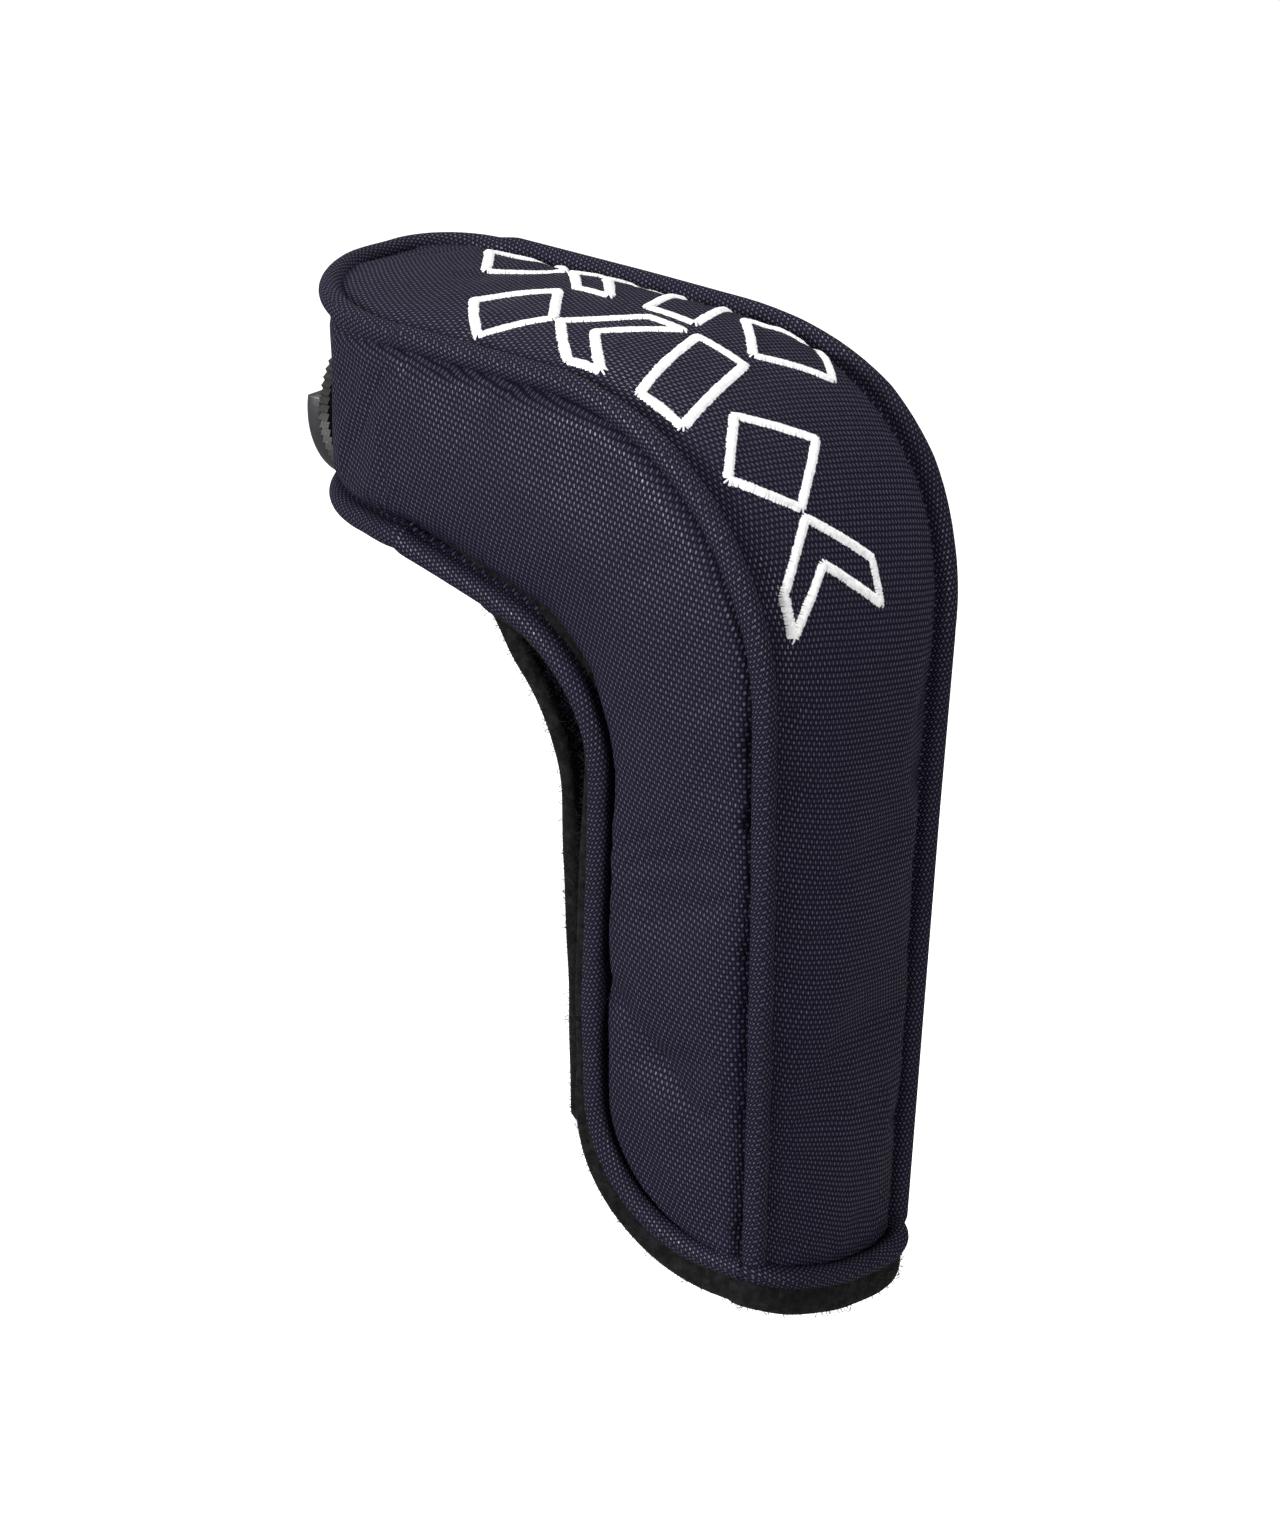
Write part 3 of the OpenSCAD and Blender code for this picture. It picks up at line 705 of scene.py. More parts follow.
def settle(name, grid, pressure, slack):
    """The grid after the cloth solver, with its border held."""
    rows, columns = grid.shape[:2]
    normal = grid_normals(grid)
    rear = grid - normal * 6.0
    both = np.vstack([grid.reshape(-1, 3), rear.reshape(-1, 3)])
    pillow = make_mesh(name, both, slab_faces(rows, columns))
    held = np.ones((2, rows, columns), bool)
    held[0, 1:-1, 1:-1] = False
    group = pillow.vertex_groups.new(name="held")
    group.add(np.flatnonzero(held.ravel()).tolist(), 1.0, "REPLACE")
    cloth = pillow.modifiers.new("cloth", "CLOTH")
    settings = cloth.settings
    settings.vertex_group_mass = "held"
    settings.quality = 6
    settings.mass = 0.25
    settings.tension_stiffness = settings.compression_stiffness = 18
    settings.shear_stiffness = 6
    settings.bending_stiffness = 0.4
    settings.use_pressure = True
    settings.uniform_pressure_force = pressure
    settings.shrink_min = -slack
    settings.effector_weights.gravity = 0
    cloth.collision_settings.use_collision = False
    cloth.collision_settings.use_self_collision = False
    cloth.point_cache.frame_start = 1
    cloth.point_cache.frame_end = CLOTH_FRAMES
    for step in range(1, CLOTH_FRAMES + 1):
        bpy.context.scene.frame_set(step)
    done = pillow.evaluated_get(bpy.context.evaluated_depsgraph_get()).data
    place = np.empty(len(done.vertices) * 3)
    done.vertices.foreach_get("co", place)
    place = place.reshape(2, rows, columns, 3)[0] / MM
    bpy.data.objects.remove(pillow)
    bpy.context.scene.frame_set(1)
    move = np.nan_to_num(place - grid)
    size = np.linalg.norm(move, axis=2, keepdims=True)
    print(name, "moved at most", round(float(size.max()), 2), "mm")
    return grid + move * np.minimum(1, MOST_MOVE / np.maximum(size, 1e-9))


def smooth_rows(value):
    """A row of numbers, softened."""
    kernel = np.hanning(9)
    padded_value = np.pad(value, 4, mode="edge")
    return np.convolve(padded_value, kernel / kernel.sum(), "valid")


def valley(grid, start, end, depth, width):
    """A crisp fold along a line, given in X and Z, pushed in along Y."""
    start, end = np.array(start, float), np.array(end, float)
    run = end - start
    where = grid[..., (0, 2)] - start
    t = (where @ run) / (run @ run)
    off = where - np.clip(t, 0, 1)[..., None] * run
    ends = ease(t, -0.3, 0.2) * (1 - ease(t, 0.8, 1.3))
    amount = depth * np.exp(-np.linalg.norm(off, axis=-1) / width) * ends
    grid = grid.copy()
    grid[..., 1] += amount
    return grid


# %% Shape the four walls
COLUMNS = 12 * DENSE


def row_values(points, table):
    """A value for each row, from a table against how far along the seam it is."""
    run = lengths(points)
    places, values = zip(*table)
    return smooth_rows(np.interp(run / run[-1], places, values))


near_fill = row_values(near_seam, [(0, 2.5), (0.12, 6), (0.5, 7), (0.68, 5.5), (0.82, 2.5), (0.9, 0.6),
                                   (1, 0)])
far_fill = row_values(far_seam, [(0, 2.5), (0.12, 6), (0.5, 7), (0.8, 5.0), (0.9, 2.5), (0.96, 0.3), (1, 0)])
outer_fill = row_values(outer_near, [(0, 6.0), (0.1, 7.5), (0.5, 7.0), (0.75, 5.5), (0.9, 4.5), (1, 1.0)])
inner_fill = row_values(inner_near, [(0, 2), (0.2, 4), (0.5, 3), (0.9, 3), (1, 0.5)])

near_grid = ruled(near_seam, near_edge, COLUMNS, near_fill)
outer_grid = ruled(outer_near, outer_far, int(COLUMNS * 1.5), outer_fill, 0.5)
far_grid = ruled(far_seam, far_edge, COLUMNS, far_fill)
inner_grid = ruled(inner_near, inner_far, COLUMNS, inner_fill)


def hang_hem(grid):
    """Drops the foot of a wall to the slanted hem."""
    grid = grid.copy()
    fade = 1 - ease(grid[..., 2], 0, 60)
    grid[..., 2] += hem_height(grid[..., 1]) * fade
    return grid


outer_grid = hang_hem(outer_grid)
inner_grid = hang_hem(inner_grid)
inner_grid[..., 2] += 21 * (1 - ease(inner_grid[..., 1], -27, 2)) * (1 - ease(inner_grid[..., 2], 0, 90))
near_grid = settle("near_pillow", near_grid, 0.6, 0.012)
outer_grid = settle("outer_pillow", outer_grid, 0.6, 0.010)
far_grid = settle("far_pillow", far_grid, 0.6, 0.012)
inner_grid = settle("inner_pillow", inner_grid, 0.4, 0.008)
near_grid = valley(near_grid, (-13, 71), (13, 43), 3.2, 4.6)
near_grid = valley(near_grid, (-34, 163), (-14, 147), 1.8, 7.0)

# %% Their weave maps, in millimetres
near_map = near_grid[..., (0, 2)].copy()
near_map[..., 0] = plan_run[:, None]
near_map[:len(near_top), :, 0] = near_grid[:len(near_top), :, 0]


def strip_map(grid, run):
    """Across the strip on u, along the strip on v."""
    wide = np.linalg.norm(np.diff(grid, axis=1), axis=2).cumsum(1)
    wide = np.concatenate([np.zeros((len(grid), 1)), wide], 1)
    wide -= wide[:, -1:] / 2
    return np.stack([wide, np.repeat(run[:, None], grid.shape[1], 1)], 2)


outer_map = strip_map(outer_grid, strip_run)
inner_map = strip_map(inner_grid, lengths(sole_path))
far_map = far_grid[..., (0, 2)].copy()
far_turn = lengths(np.vstack([[(FAR_CORNER_X, HEAD_FAR_Y)], far_plan]))[1:]
far_map[len(far_top):, :, 0] = (FAR_CORNER_X - far_turn)[:, None]

# %% [markdown]
# ## Layers
# The frame keeps fabric, foam and lining apart, and so does the model. In the real cover the whole near
# wall bends at the flap's hinge; here its head part and its flap are one piece of each layer, attached to
# neither body.

# %% Build and place the layers
DEPTHS = {"fabric": (0.0, 1.2), "foam": (1.3, 4.3), "lining": (4.4, 6.2)}
LOOKS = {"fabric": (navy_cloth, "shell_fabric"), "foam": (foam, "foam"), "lining": (fleece, "fleece")}


def place_piece(thing, nodes, bends=False):
    """Hides the frame's nodes that the piece replaces; attaches the piece to the cover, or, when bends is
    set, bakes its transform and leaves it unattached.
    """
    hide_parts(*nodes)
    if bends:
        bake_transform(thing)
    else:
        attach(thing, "cover")
    return thing


def build_wall(name, grid, uv, nodes, bends=False):
    """The fabric, foam and lining of one wall, each in the place of its own nodes."""
    for layer, covered in nodes.items():
        shallow, deep = DEPTHS[layer]
        material, finish_slot = LOOKS[layer]
        thing = layer_of(f"{name}_{layer}", grid, uv, shallow, deep, material)
        place_piece(thing, covered, bends)
        print(name, layer, "faces:", len(thing.data.polygons))


build_wall("near_side", near_grid, near_map,
           {"fabric": ["near_head_band", "flap_panel"], "foam": ["near_head_foam", "flap_foam"],
            "lining": ["near_head_lining", "flap_lining"]}, bends=True)
build_wall("outer_side", outer_grid, outer_map,
           {"fabric": ["outer_panel"], "foam": ["outer_panel_foam"], "lining": ["outer_panel_lining"]})
build_wall("far_side", far_grid, far_map,
           {"fabric": ["far_side_band"], "foam": ["far_side_foam"], "lining": ["far_side_lining"]})
build_wall("inner_side", inner_grid, inner_map,
           {"fabric": ["inner_panel"], "foam": ["inner_panel_foam"], "lining": ["inner_panel_lining"]})

# %% [markdown]
# ## Piping
# A cord wrapped in bias-cut cloth runs in every seam. A tube is swept along each seam line, moved
# outwards by less than its radius, so that it sits deep in the corner between two full walls.

# %% Tubes
PIPE_R = 2.85
PIPE_OUT = PIPE_R * 0.6


def ring_faces(rows, sides):
    """Faces of a tube of rings, closed at both ends by fans round two last points."""
    faces = []
    for i in range(rows - 1):
        for k in range(sides):
            a, b = i * sides + k, i * sides + (k + 1) % sides
            faces.append((a, b, b + sides, a + sides))
    last = (rows - 1) * sides
    for k in range(sides):
        after = (k + 1) % sides
        faces.append((after, k, rows * sides))
        faces.append((last + k, last + after, rows * sides + 1))
    return faces


def sweep(name, path, radius, material, sides=24, flange=4.5):
    """A cord along a path, with the flange that is sewn into the seam and closed ends."""
    path = np.asarray(path, float)
    run = lengths(path)
    count = max(8, int(run[-1] / (1.0)))
    path = at_fractions(path, np.linspace(0, 1, count + 1))
    run = lengths(path)
    tangent = np.gradient(path, axis=0)
    tangent /= np.linalg.norm(tangent, axis=1, keepdims=True)
    first = nearest_spine(path) - path
    first -= (first * tangent).sum(1, keepdims=True) * tangent
    first /= np.linalg.norm(first, axis=1, keepdims=True)
    second = np.cross(tangent, first)
    angle = np.linspace(-math.pi, math.pi, sides, endpoint=False)
    reach = radius + flange * np.exp(-(angle / 0.2) ** 2)
    ring = first[:, None] * np.cos(angle)[None, :, None] + second[:, None] * np.sin(angle)[None, :, None]
    tube = path[:, None] + ring * reach[None, :, None]
    rows = len(path)
    points = np.vstack([tube.reshape(-1, 3), path[:1], path[-1:]])
    thing = make_mesh(name, points, ring_faces(rows, sides))
    layer = thing.data.uv_layers.new(name="cloth")
    girth = 2 * math.pi * radius
    for face in thing.data.polygons:
        around = [thing.data.loops[i].vertex_index % sides for i in face.loop_indices]
        wrap = max(around) - min(around) > sides / 2
        for i in face.loop_indices:
            vertex = thing.data.loops[i].vertex_index
            if vertex >= rows * sides:
                layer.data[i].uv = (0, 0)
                continue
            k = vertex % sides
            k = k + sides if wrap and k < sides / 2 else k
            layer.data[i].uv = (k / sides * girth, run[vertex // sides])
    thing.data.materials.append(material)
    return thing


def seam_out(path, amount):
    """A side-view path moved away from the spine, as a pair of columns."""
    step = np.gradient(path, axis=0)
    step /= np.linalg.norm(step, axis=1, keepdims=True)
    out = np.stack([step[:, 1], -step[:, 0]], 1)
    return path + out * amount


def beside(seam, side, out_amount, side_amount):
    """A seam in space, moved outwards in side view and sideways to the near or far side."""
    flat = seam_out(seam[:, (0, 2)], out_amount)
    return np.column_stack([flat[:, 0], seam[:, 1] + side * side_amount, flat[:, 1]])


def round_toe(plan, height, out_amount, rise):
    """A run round the toe, moved outwards in plan and up or down."""
    moved_plan = seam_out(plan, np.reshape(out_amount, (-1, 1)))
    return np.column_stack([moved_plan, height + rise])


# %% The pipings
toe_ring = np.vstack([near_toe, [(TOE_X, TOE_MIDDLE_Y)], far_toe[::-1] + [0, -1.0]])
toe_ring = at_fractions(toe_ring, np.linspace(0, 1, 90))
toe_height = top_z(toe_ring[:, 0]) - SEAM_SINK * ease(toe_ring[:, 1], 0, 20)
toe_pipe = round_toe(toe_ring, toe_height, -PIPE_OUT + 1.1, PIPE_OUT * 0.6)
near_rise = beside(near_top, NEAR, PIPE_OUT, PIPE_OUT)
far_rise = beside(far_top, FAR, PIPE_OUT, PIPE_OUT)
outer_pipe = np.vstack([near_rise[1:-2], toe_pipe[1:-1], far_rise[::-1][2:],
                        [far_rise[0] + [-0.6, -1.2, -2.5]]])
piece = sweep("outer_piping", outer_pipe, PIPE_R, navy_bias)
place_piece(piece, ["outer_edge_piping"])

hem_start = np.linspace((outer_x(HEM_NEAR) - 1, near_low[0, 1], HEM_NEAR),
                        (near_low[0, 0] + 1, near_low[0, 1], HEM_NEAR), 6)
free_line = np.vstack([hem_start, near_low])
near_free = beside(free_line, NEAR, -PIPE_OUT, PIPE_OUT)
toe_low_plan = at_fractions(np.vstack([near_toe, [(TOE_X, TOE_MIDDLE_Y)]]), np.linspace(0, 1, 60))
toe_low_height = np.linspace(TOE_EDGE_Z, TOE_EDGE_Z - 0.6, 60)
toe_low_out = -PIPE_OUT + 2.2 * ease(np.arange(60), 0, 12)
toe_low_pipe = round_toe(toe_low_plan, toe_low_height, toe_low_out, -PIPE_OUT + 0.3)
free_pipe = np.vstack([near_free, toe_low_pipe[1:-8]])
piece = sweep("free_edge_piping", free_pipe, PIPE_R, navy_bias)
place_piece(piece, ["flap_edge_piping"], bends=True)

far_low_pipe = beside(far_low, FAR, -PIPE_OUT, PIPE_OUT)
far_toe_plan = at_fractions(np.vstack([far_toe + [0, -1.0], [(TOE_X, TOE_MIDDLE_Y)]]), np.linspace(0, 1, 40))
far_toe_pipe = round_toe(far_toe_plan, np.linspace(HEAD_SOLE_Z, TOE_EDGE_Z - 0.6, 40), PIPE_OUT, -PIPE_OUT)
piece = sweep("far_lower_piping", np.vstack([far_low_pipe[2:], far_toe_pipe[1:-8]]), PIPE_R, navy_bias)
place_piece(piece, ["lower_edge_piping"])

slit_flat = seam_out(sole_path, -1.6)
slit_line = np.column_stack([slit_flat[:, 0], inner_near[:, 1] - 0.6, slit_flat[:, 1]])
slit_line = slit_line[(slit_line[:, 2] > 26) & (slit_line[:, 0] > -50)]
piece = sweep("slit_piping", slit_line, 2.0, navy_bias)
place_piece(piece, ["slit_edge_piping"])
print("outer piping:", round(lengths(outer_pipe)[-1]), "mm, free edge:", round(lengths(free_pipe)[-1]), "mm")

# %% The hem piping
hem_outer = outer_grid[0][1:-1]
hem_far = far_grid[0][1:-1]
hem_inner = inner_grid[0][::-1][1:-1]
hem_line = np.vstack([
    near_free[[3, 1]],
    [near_free[0] + [1.0, 0.1, -0.1]],
    hem_outer[3:] + np.outer(ease(hem_outer[3:, 1], -10, 30), [1.6, 1.2, 0]) + [PIPE_OUT, 0, -1.4],
    hem_far[::2] + [0, PIPE_OUT + 0.6, -1.4],
    hem_inner + [-PIPE_OUT, 0, -1.4],
])
hem_line = at_fractions(hem_line, np.linspace(0, 1, 90))
for _ in range(3):
    hem_line[1:-1] = hem_line[1:-1] * 0.5 + (hem_line[:-2] + hem_line[2:]) * 0.25
piece = sweep("hem_piping", hem_line, PIPE_R, navy_bias)
place_piece(piece, ["hem_piping"])
print("hem piping:", round(lengths(hem_line)[-1]), "mm")

# %% [markdown]
# ## Fleece facings
# The lining is folded out past the free edges, where it makes thick black lips. A lip is a rounded ribbon
# between the piping and its own outer line. Short fibres are scattered over it with Geometry Nodes.

# %% Lips
LIP_RIPPLE = 0.0875


def lip(name, inner, outer, thick, nodes, bends=False, taper=(0, 0)):
    """A rounded fleece ribbon from an inner line to an outer line, thinned over the taper at each end."""
    count = max(12, int(lengths(inner)[-1] / (1.4)))
    share = np.linspace(0, 1, count + 1)
    inner, outer = at_fractions(inner, share), at_fractions(outer, share)
    along = np.gradient((inner + outer) / 2, axis=0)
    along /= np.linalg.norm(along, axis=1, keepdims=True)
    run = lengths((inner + outer) / 2)
    full = ease(run, -1, taper[0]) * (1 - ease(run, run[-1] - taper[1], run[-1] + 1))
    full = 0.12 + 0.88 * full if max(taper) > 0 else np.ones(len(run))
    wide = (outer - inner) * full[:, None]
    deep = np.cross(along, wide)
    deep /= np.linalg.norm(deep, axis=1, keepdims=True)
    thick = thick * full[:, None, None]
    middle = inner + wide / 2
    ripple = 1 + LIP_RIPPLE * (np.sin(run / 9.0) + 0.6 * np.sin(run / 4.1 + 1.0))
    sides = 20
    angle = np.linspace(0, 2 * math.pi, sides, endpoint=False)
    c, s = np.cos(angle), np.sin(angle)
    flat = np.sign(c) * np.abs(c) ** 0.75
    high = np.sign(s) * np.abs(s) ** 0.8
    points = (middle[:, None] + wide[:, None] * 0.5 * flat[None, :, None]
              + deep[:, None] * (thick / 2) * (ripple[:, None, None] * high[None, :, None]))
    rows = len(middle)
    points = np.vstack([points.reshape(-1, 3), middle[:1], middle[-1:]])
    thing = make_mesh(name, points, ring_faces(rows, sides))
    thing.data.materials.append(fleece)
    add_nap(thing)
    place_piece(thing, nodes, bends)
    return thing


def geometry_group(name, inputs):
    """A node group with a geometry in and out, and its group-input node."""
    tree = bpy.data.node_groups.new(name, "GeometryNodeTree")
    tree.interface.new_socket("Geometry", in_out="INPUT", socket_type="NodeSocketGeometry")
    tree.interface.new_socket("Geometry", in_out="OUTPUT", socket_type="NodeSocketGeometry")
    for label, (kind, value) in inputs.items():
        tree.interface.new_socket(label, in_out="INPUT", socket_type=kind).default_value = value
    enter = tree.nodes.new("NodeGroupInput")
    leave = tree.nodes.new("NodeGroupOutput")
    return tree, {s.name: Wire(tree, s) for s in enter.outputs if s.name}, leave


def run_group(thing, tree):
    """Applies a Geometry Nodes group to an object's mesh for good."""
    modifier = thing.modifiers.new("nodes", "NODES")
    modifier.node_group = tree
    bpy.context.view_layer.update()
    done = bpy.data.meshes.new_from_object(thing.evaluated_get(bpy.context.evaluated_depsgraph_get()))
    thing.modifiers.remove(modifier)
    thing.data = done


def nap_group():
    """Short curled fibres scattered over a surface."""
    tree, given, leave = geometry_group("fleece_nap", {
        "Density": ("NodeSocketFloat", 0.7e6),
        "Length": ("NodeSocketFloat", 0.0014),
        "Seed": ("NodeSocketInt", 7)})
    spots = add_node(tree, "GeometryNodeDistributePointsOnFaces", None, 0, Mesh=given["Geometry"],
                     Density=given["Density"], Seed=given["Seed"])
    spot_node = spots.socket.node
    turned = Wire(tree, spot_node.outputs["Rotation"])
    fibre = add_node(tree, "GeometryNodeCurveQuadraticBezier", None, 0,
                     Resolution=3, Start=(0, 0, -0.1), Middle=(0.25, 0, 0.6), End=(0.75, 0.15, 0.8))
    profile = add_node(tree, "GeometryNodeCurvePrimitiveCircle", None, 0, Resolution=3, Radius=0.045)
    hair = add_node(tree, "GeometryNodeCurveToMesh", None, 0, Curve=fibre, Profile_Curve=profile)
    twist = add_node(tree, "FunctionNodeRandomValue", {"data_type": "FLOAT_VECTOR"}, 0,
                     Min=(-0.5, -0.5, -3.14), Max=(0.5, 0.5, 3.14), Seed=given["Seed"])
    both = add_node(tree, "FunctionNodeRotateRotation", {"rotation_space": "LOCAL"}, 0,
                    Rotation=turned, Rotate_By=twist)
    size = add_node(tree, "FunctionNodeRandomValue", {"data_type": "FLOAT"}, 1,
                    n2=0.4, n3=1.3, Seed=given["Seed"])
    hairs = add_node(tree, "GeometryNodeInstanceOnPoints", None, 0, Points=spots, Instance=hair,
                     Rotation=both, Scale=size * given["Length"])
    real = add_node(tree, "GeometryNodeRealizeInstances", None, 0, Geometry=hairs)
    joined = tree.nodes.new("GeometryNodeJoinGeometry")
    tree.links.new(given["Geometry"].socket, joined.inputs[0])
    tree.links.new(real.socket, joined.inputs[0])
    painted = add_node(tree, "GeometryNodeSetMaterial", None, 0, Geometry=Wire(tree, joined.outputs[0]),
                       Material=fleece)
    tree.links.new(painted.socket, leave.inputs[0])
    return tree


NAP = nap_group()


def add_nap(thing):
    """Short fibres all over a lip."""
    run_group(thing, NAP)


# %% Place the lips
LIP_SIDE = 8.9
LIP_HEM = 12.9


def lip_reach(path):
    """How far the near lip stands past the band's edge: least at the toe, most along the hem."""
    side = (LIP_SIDE - 1.5 * ease(path[:, 1], 95, 135)) * (0.35 + 0.65 * ease(path[:, 0], -78, -45))
    return side + (LIP_HEM - LIP_SIDE) * (1 - ease(path[:, 1], 14, 46))


free_flat = free_line[:, (0, 2)]
lip_step = np.gradient(free_flat, axis=0)
lip_step /= np.linalg.norm(lip_step, axis=1, keepdims=True)
lip_away = np.stack([-lip_step[:, 1], lip_step[:, 0]], 1)
lip_line = free_flat + lip_away * lip_reach(free_flat)[:, None]
turned_in = free_flat - lip_away * 3.6
near_lip_in = np.column_stack([turned_in[:, 0], free_line[:, 1] + 3.8, turned_in[:, 1]])
near_lip_out = np.column_stack([lip_line[:, 0], free_line[:, 1] + 0.6, lip_line[:, 1]])
keep = slice(0, len(free_line) - 2)
lip("near_lip", near_lip_in[keep], near_lip_out[keep], 4.4, ["near_slit_facing", "flap_facing"], bends=True,
    taper=(0, 26))

roll_flat = seam_out(sole_path, -2.0)
roll_in = np.column_stack([roll_flat[:, 0], inner_near[:, 1] - 1.0, roll_flat[:, 1]])
roll_out = roll_in + [0, -4.6, 0]
roll_on = (roll_in[:, 2] > 22) & (roll_in[:, 0] > -58)
lip("far_roll", roll_in[roll_on], roll_out[roll_on], 4.6, ["far_slit_facing"], taper=(6, 22))

hem_low = hem_line[1:-1]
hem_in = np.column_stack([hem_low[:, 0], hem_low[:, 1], hem_low[:, 2] + 0.5])
centre = np.array([hem_low[:, 0].mean(), hem_low[:, 1].mean()])
inward = centre - hem_low[:, :2]
inward /= np.linalg.norm(inward, axis=1, keepdims=True)
hem_in[:, :2] += inward * 1.4
hem_out = hem_in + [0, 0, -11.2]
lip("hem_lip", hem_in, hem_out, 4.4, ["hem_facing"])
print("near lip:", round(lengths(near_lip_in)[-1]), "mm, hem lip:", round(lengths(hem_in)[-1]), "mm")

# %% [markdown]
# ## Stitched motif
# Outlined diamonds, chevrons and slanted bars run round the bend in two rows. Each outline is a line on
# the wall, and Geometry Nodes lays satin threads across it: resample, one bent thread on each point,
# realize.

# %% Motif outlines
STROKE = 2.4


def on_wall(grid, run, s, share):
    """Point and normal on a wall at a length along it and a share across it."""
    row = np.interp(s, run, np.arange(len(run)))
    column = share * (grid.shape[1] - 1)
    i, j = int(min(row, len(grid) - 2)), int(min(column, grid.shape[1] - 2))
    a, b = row - i, column - j
    mixed = []
    for field in (grid, WALL_NORMALS):
        mixed.append((field[i, j] * (1 - a) + field[i + 1, j] * a) * (1 - b)
                     + (field[i, j + 1] * (1 - a) + field[i + 1, j + 1] * a) * b)
    return mixed[0], mixed[1] / np.linalg.norm(mixed[1])


WALL_NORMALS = grid_normals(outer_grid)
SHAPES = {
    "diamond": [[(0, -0.5), (0.5, 0), (0, 0.5), (-0.5, 0)]],
    "bar": [[(-0.42, -0.5), (0.12, -0.5), (0.42, 0.5), (-0.12, 0.5)]],
    "chevron": [[(-0.48, -0.5), (-0.08, -0.5), (0.46, 0), (-0.08, 0.5), (-0.48, 0.5), (0.04, 0)]],
}


def motif_lines():
    """Closed outlines on the wall as points, edges and normals."""
    places, normals, edges = [], [], []
    top_s = strip_run[-1]
    rows = [
        (["chevron", "diamond", "bar", "chevron", "diamond"], top_s - 176, 24.8, 0.15, 0.51, 23.6),
        (["diamond", "bar", "chevron", "diamond"], top_s - 128, 25.8, 0.57, 0.92, 24.6),
    ]
    for names, start, pitch, low, high, width in rows:
        for k, name in enumerate(names):
            for outline in SHAPES[name]:
                ring = []
                for (a0, b0), (a1, b1) in zip(outline, outline[1:] + outline[:1]):
                    for step in np.linspace(0, 1, 12, endpoint=False):
                        a, b = a0 + (a1 - a0) * step, b0 + (b1 - b0) * step
                        ring.append(on_wall(outer_grid, strip_run, start + (k + 0.5) * pitch + a * width,
                                            low + (b + 0.5) * (high - low)))
                first = len(places)
                places += [p + n * 0.35 for p, n in ring]
                normals += [n for _, n in ring]
                edges += [(first + i, first + (i + 1) % len(ring)) for i in range(len(ring))]
    return np.array(places), np.array(normals), edges


def satin_group():
    """Threads laid side by side across every edge line."""
    tree, given, leave = geometry_group("satin_stitch", {
        "Pitch": ("NodeSocketFloat", 0.00040),
        "Width": ("NodeSocketFloat", STROKE * MM),
        "Seed": ("NodeSocketInt", 11)})
    line = add_node(tree, "GeometryNodeMeshToCurve", None, 0, Mesh=given["Geometry"])
    even = add_node(tree, "GeometryNodeResampleCurve", {"mode": "LENGTH"}, 0,
                    Curve=line, Length=given["Pitch"])
    up = add_node(tree, "GeometryNodeInputNamedAttribute", {"data_type": "FLOAT_VECTOR"}, 0, Name="lift")
    ahead = add_node(tree, "GeometryNodeInputTangent", None, 0)
    stand = add_node(tree, "FunctionNodeAlignRotationToVector", {"axis": "Z"}, 0, Vector=up)
    lie = add_node(tree, "FunctionNodeAlignRotationToVector", {"axis": "Y", "pivot_axis": "Z"}, 0,
                   Rotation=stand, Vector=ahead)
    sway = add_node(tree, "FunctionNodeRandomValue", {"data_type": "FLOAT_VECTOR"}, 0,
                    Min=(-0.05, -0.06, -0.13), Max=(0.05, 0.06, 0.13), Seed=given["Seed"])
    laid = add_node(tree, "FunctionNodeRotateRotation", {"rotation_space": "LOCAL"}, 0,
                    Rotation=lie, Rotate_By=sway)
    size = add_node(tree, "FunctionNodeRandomValue", {"data_type": "FLOAT"}, 1,
                    n2=0.88, n3=1.1, Seed=given["Seed"])
    bow = add_node(tree, "GeometryNodeCurveQuadraticBezier", None, 0,
                   Resolution=5, Start=(-0.52, 0, -0.26), Middle=(0, 0, 0.42), End=(0.52, 0, -0.26))
    profile = add_node(tree, "GeometryNodeCurvePrimitiveCircle", None, 0, Resolution=5, Radius=0.105)
    strand = add_node(tree, "GeometryNodeCurveToMesh", None, 0,
                      Curve=bow, Profile_Curve=profile, Fill_Caps=True)
    laid_down = add_node(tree, "GeometryNodeInstanceOnPoints", None, 0, Points=even, Instance=strand,
                         Rotation=laid, Scale=size * given["Width"])
    real = add_node(tree, "GeometryNodeRealizeInstances", None, 0, Geometry=laid_down)
    painted = add_node(tree, "GeometryNodeSetMaterial", None, 0, Geometry=real, Material=thread)
    tree.links.new(painted.socket, leave.inputs[0])
    return tree


# %% Stitch the motif
spots, lifts, pairs = motif_lines()
data = bpy.data.meshes.new("stitched_outlines")
data.from_pydata((spots * MM).tolist(), pairs, [])
lift = data.attributes.new("lift", "FLOAT_VECTOR", "POINT")
lift.data.foreach_set("vector", lifts.astype(np.float32).ravel())
outlines = bpy.data.objects.new("stitched_outlines", data)
bpy.context.scene.collection.objects.link(outlines)
run_group(outlines, satin_group())
outlines.data.shade_smooth()
place_piece(outlines, ["stitched_motif"])
print("threads:", len(outlines.data.polygons), "faces")

# %% [markdown]
# ## The dial
# The frame's wheel, numerals, base, rivet, spring and plate are shown as they are, in better plastic. The
# cap has a soft rim in the real thing, so it is rebuilt from an outline and a rounded edge profile.

# %% Dial finishes
DIAL_FINISH = {"dial_base": wheel_black, "number_wheel": wheel_black, "wheel_numerals": ink_white,
               "dial_rivet": steel, "dial_spring": steel, "dial_backing_plate": wheel_black}
for node, material in DIAL_FINISH.items():
    for slot_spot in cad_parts[node].material_slots:
        slot_spot.material = material

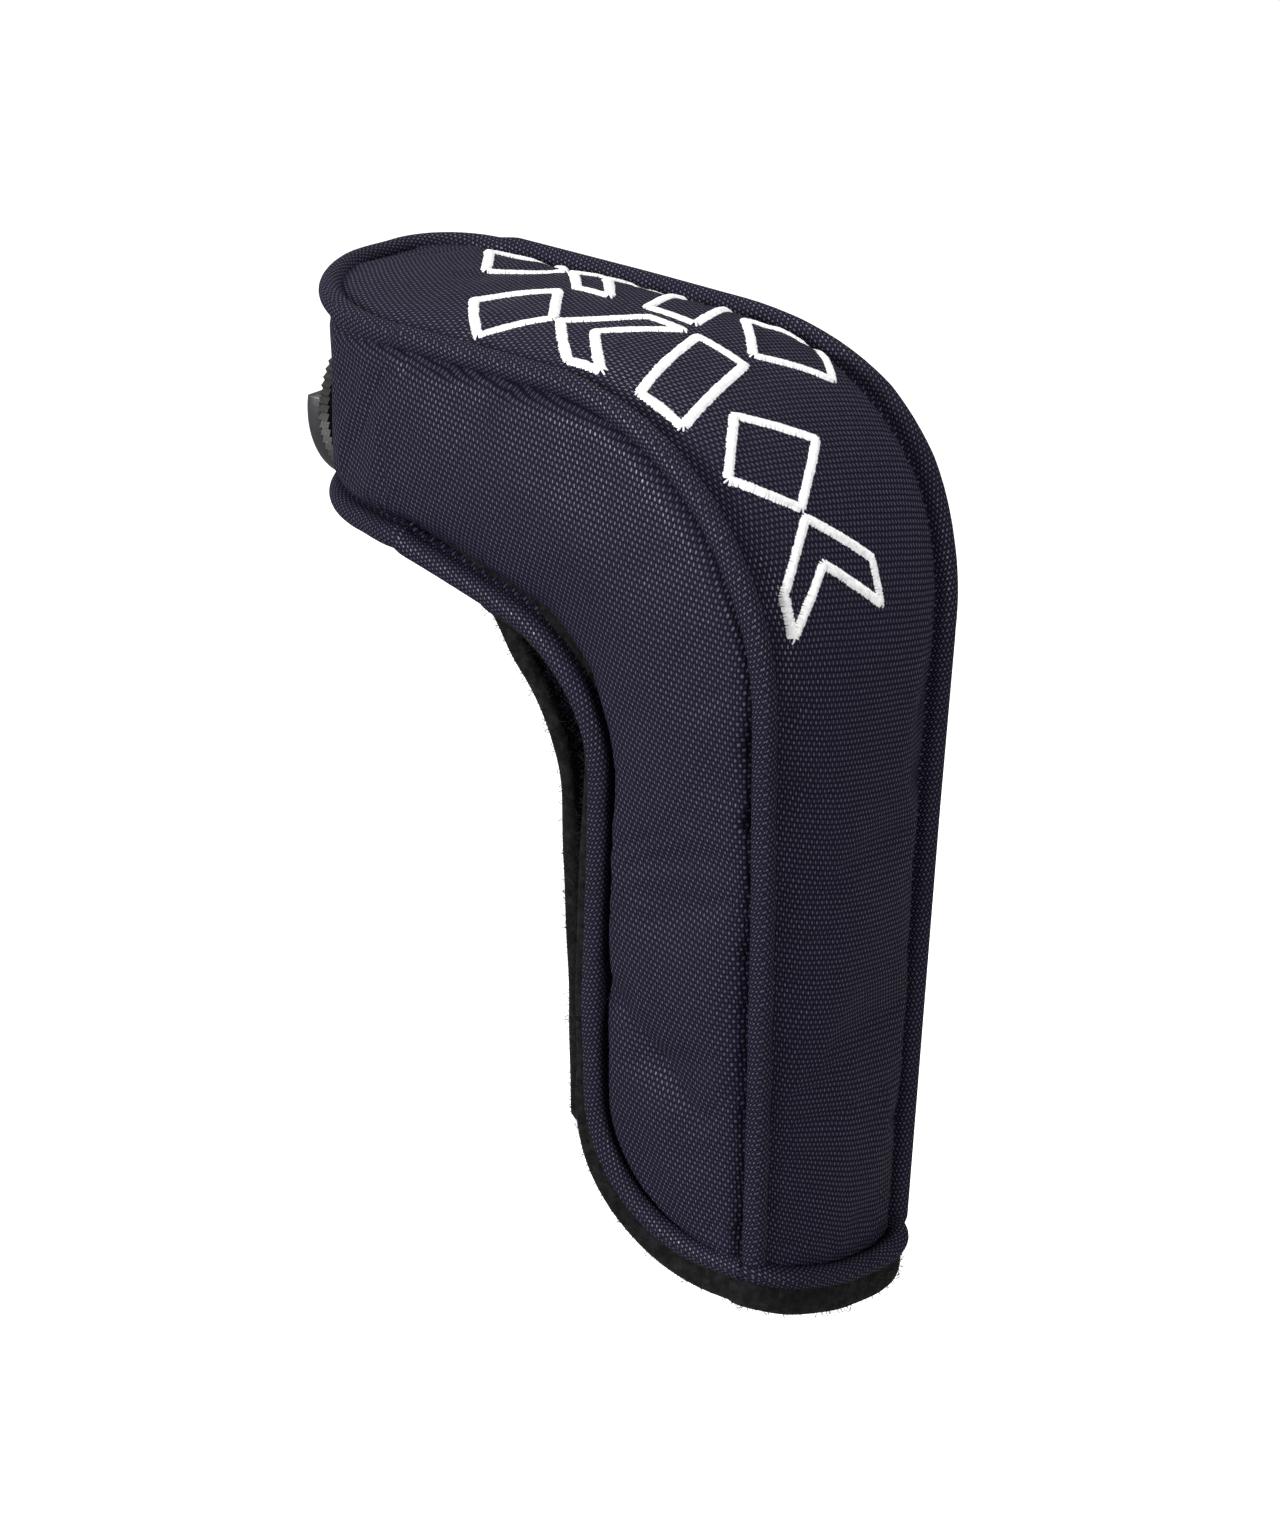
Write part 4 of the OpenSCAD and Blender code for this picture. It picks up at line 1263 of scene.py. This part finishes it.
cap_low, cap_high = (np.array(corner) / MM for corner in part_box("dial_cap"))
CAP_R = (cap_high[1] - cap_low[1]) / 2
CAP_Y = (cap_high[1] + cap_low[1]) / 2
CAP_Z = cap_low[2] + CAP_R
CAP_TOP = cap_high[2] - CAP_Z
CAP_FACE = cap_low[0]
CAP_BACK = cap_high[0]


def cap_outline(shrink, steps=120):
    """The cap's outline: a disc cut flat above its axis, drawn in by shrink."""
    radius = CAP_R - shrink
    top = CAP_TOP - shrink
    start = math.asin(top / radius)
    angles = np.linspace(math.pi - start, 2 * math.pi + start, steps)
    arc = np.stack([radius * np.cos(angles), radius * np.sin(angles)], 1)
    flat = np.linspace(arc[-1], arc[0], 40)[1:-1]
    return np.vstack([arc, flat])


def build_cap():
    """The cap: rings of its outline, from the back over a rounded rim to a dished face."""
    rim = 1.6
    rings = [(2.2, CAP_BACK), (0.25, CAP_BACK), (0.0, CAP_BACK - 0.3)]
    for k in range(7):
        angle = math.pi / 2 * k / 6
        rings.append((rim * (1 - math.cos(angle)), CAP_FACE + rim * (1 - math.sin(angle))))
    rings += [(4.0, CAP_FACE), (4.3, CAP_FACE + 0.25), (9.0, CAP_FACE + 0.3), (12.5, CAP_FACE + 0.3)]
    outlines_3d = []
    for shrink, x in rings:
        if shrink < CAP_R - 1 and CAP_TOP - shrink > -CAP_R + shrink:
            flat = cap_outline(min(shrink, 12.4))
            outlines_3d.append(np.insert(flat + [CAP_Y, CAP_Z], 0, x, axis=1))
    count = len(outlines_3d[0])
    points = np.vstack(outlines_3d)
    faces = []
    for i in range(len(outlines_3d) - 1):
        for k in range(count):
            a, b = i * count + k, i * count + (k + 1) % count
            faces.append((a, b, b + count, a + count))
    faces.append(list(range(count))[::-1])
    faces.append([(len(outlines_3d) - 1) * count + k for k in range(count)])
    cap = make_mesh("round_cap", points, faces)
    cap.data.materials.append(cap_grey)
    return cap


place_piece(build_cap(), ["dial_cap"])
print("cap radius", round(CAP_R, 1), "mm, top edge", round(CAP_TOP, 1), "mm above its axis")

# %% Sizes and finish
print("CAD box", cad_box)
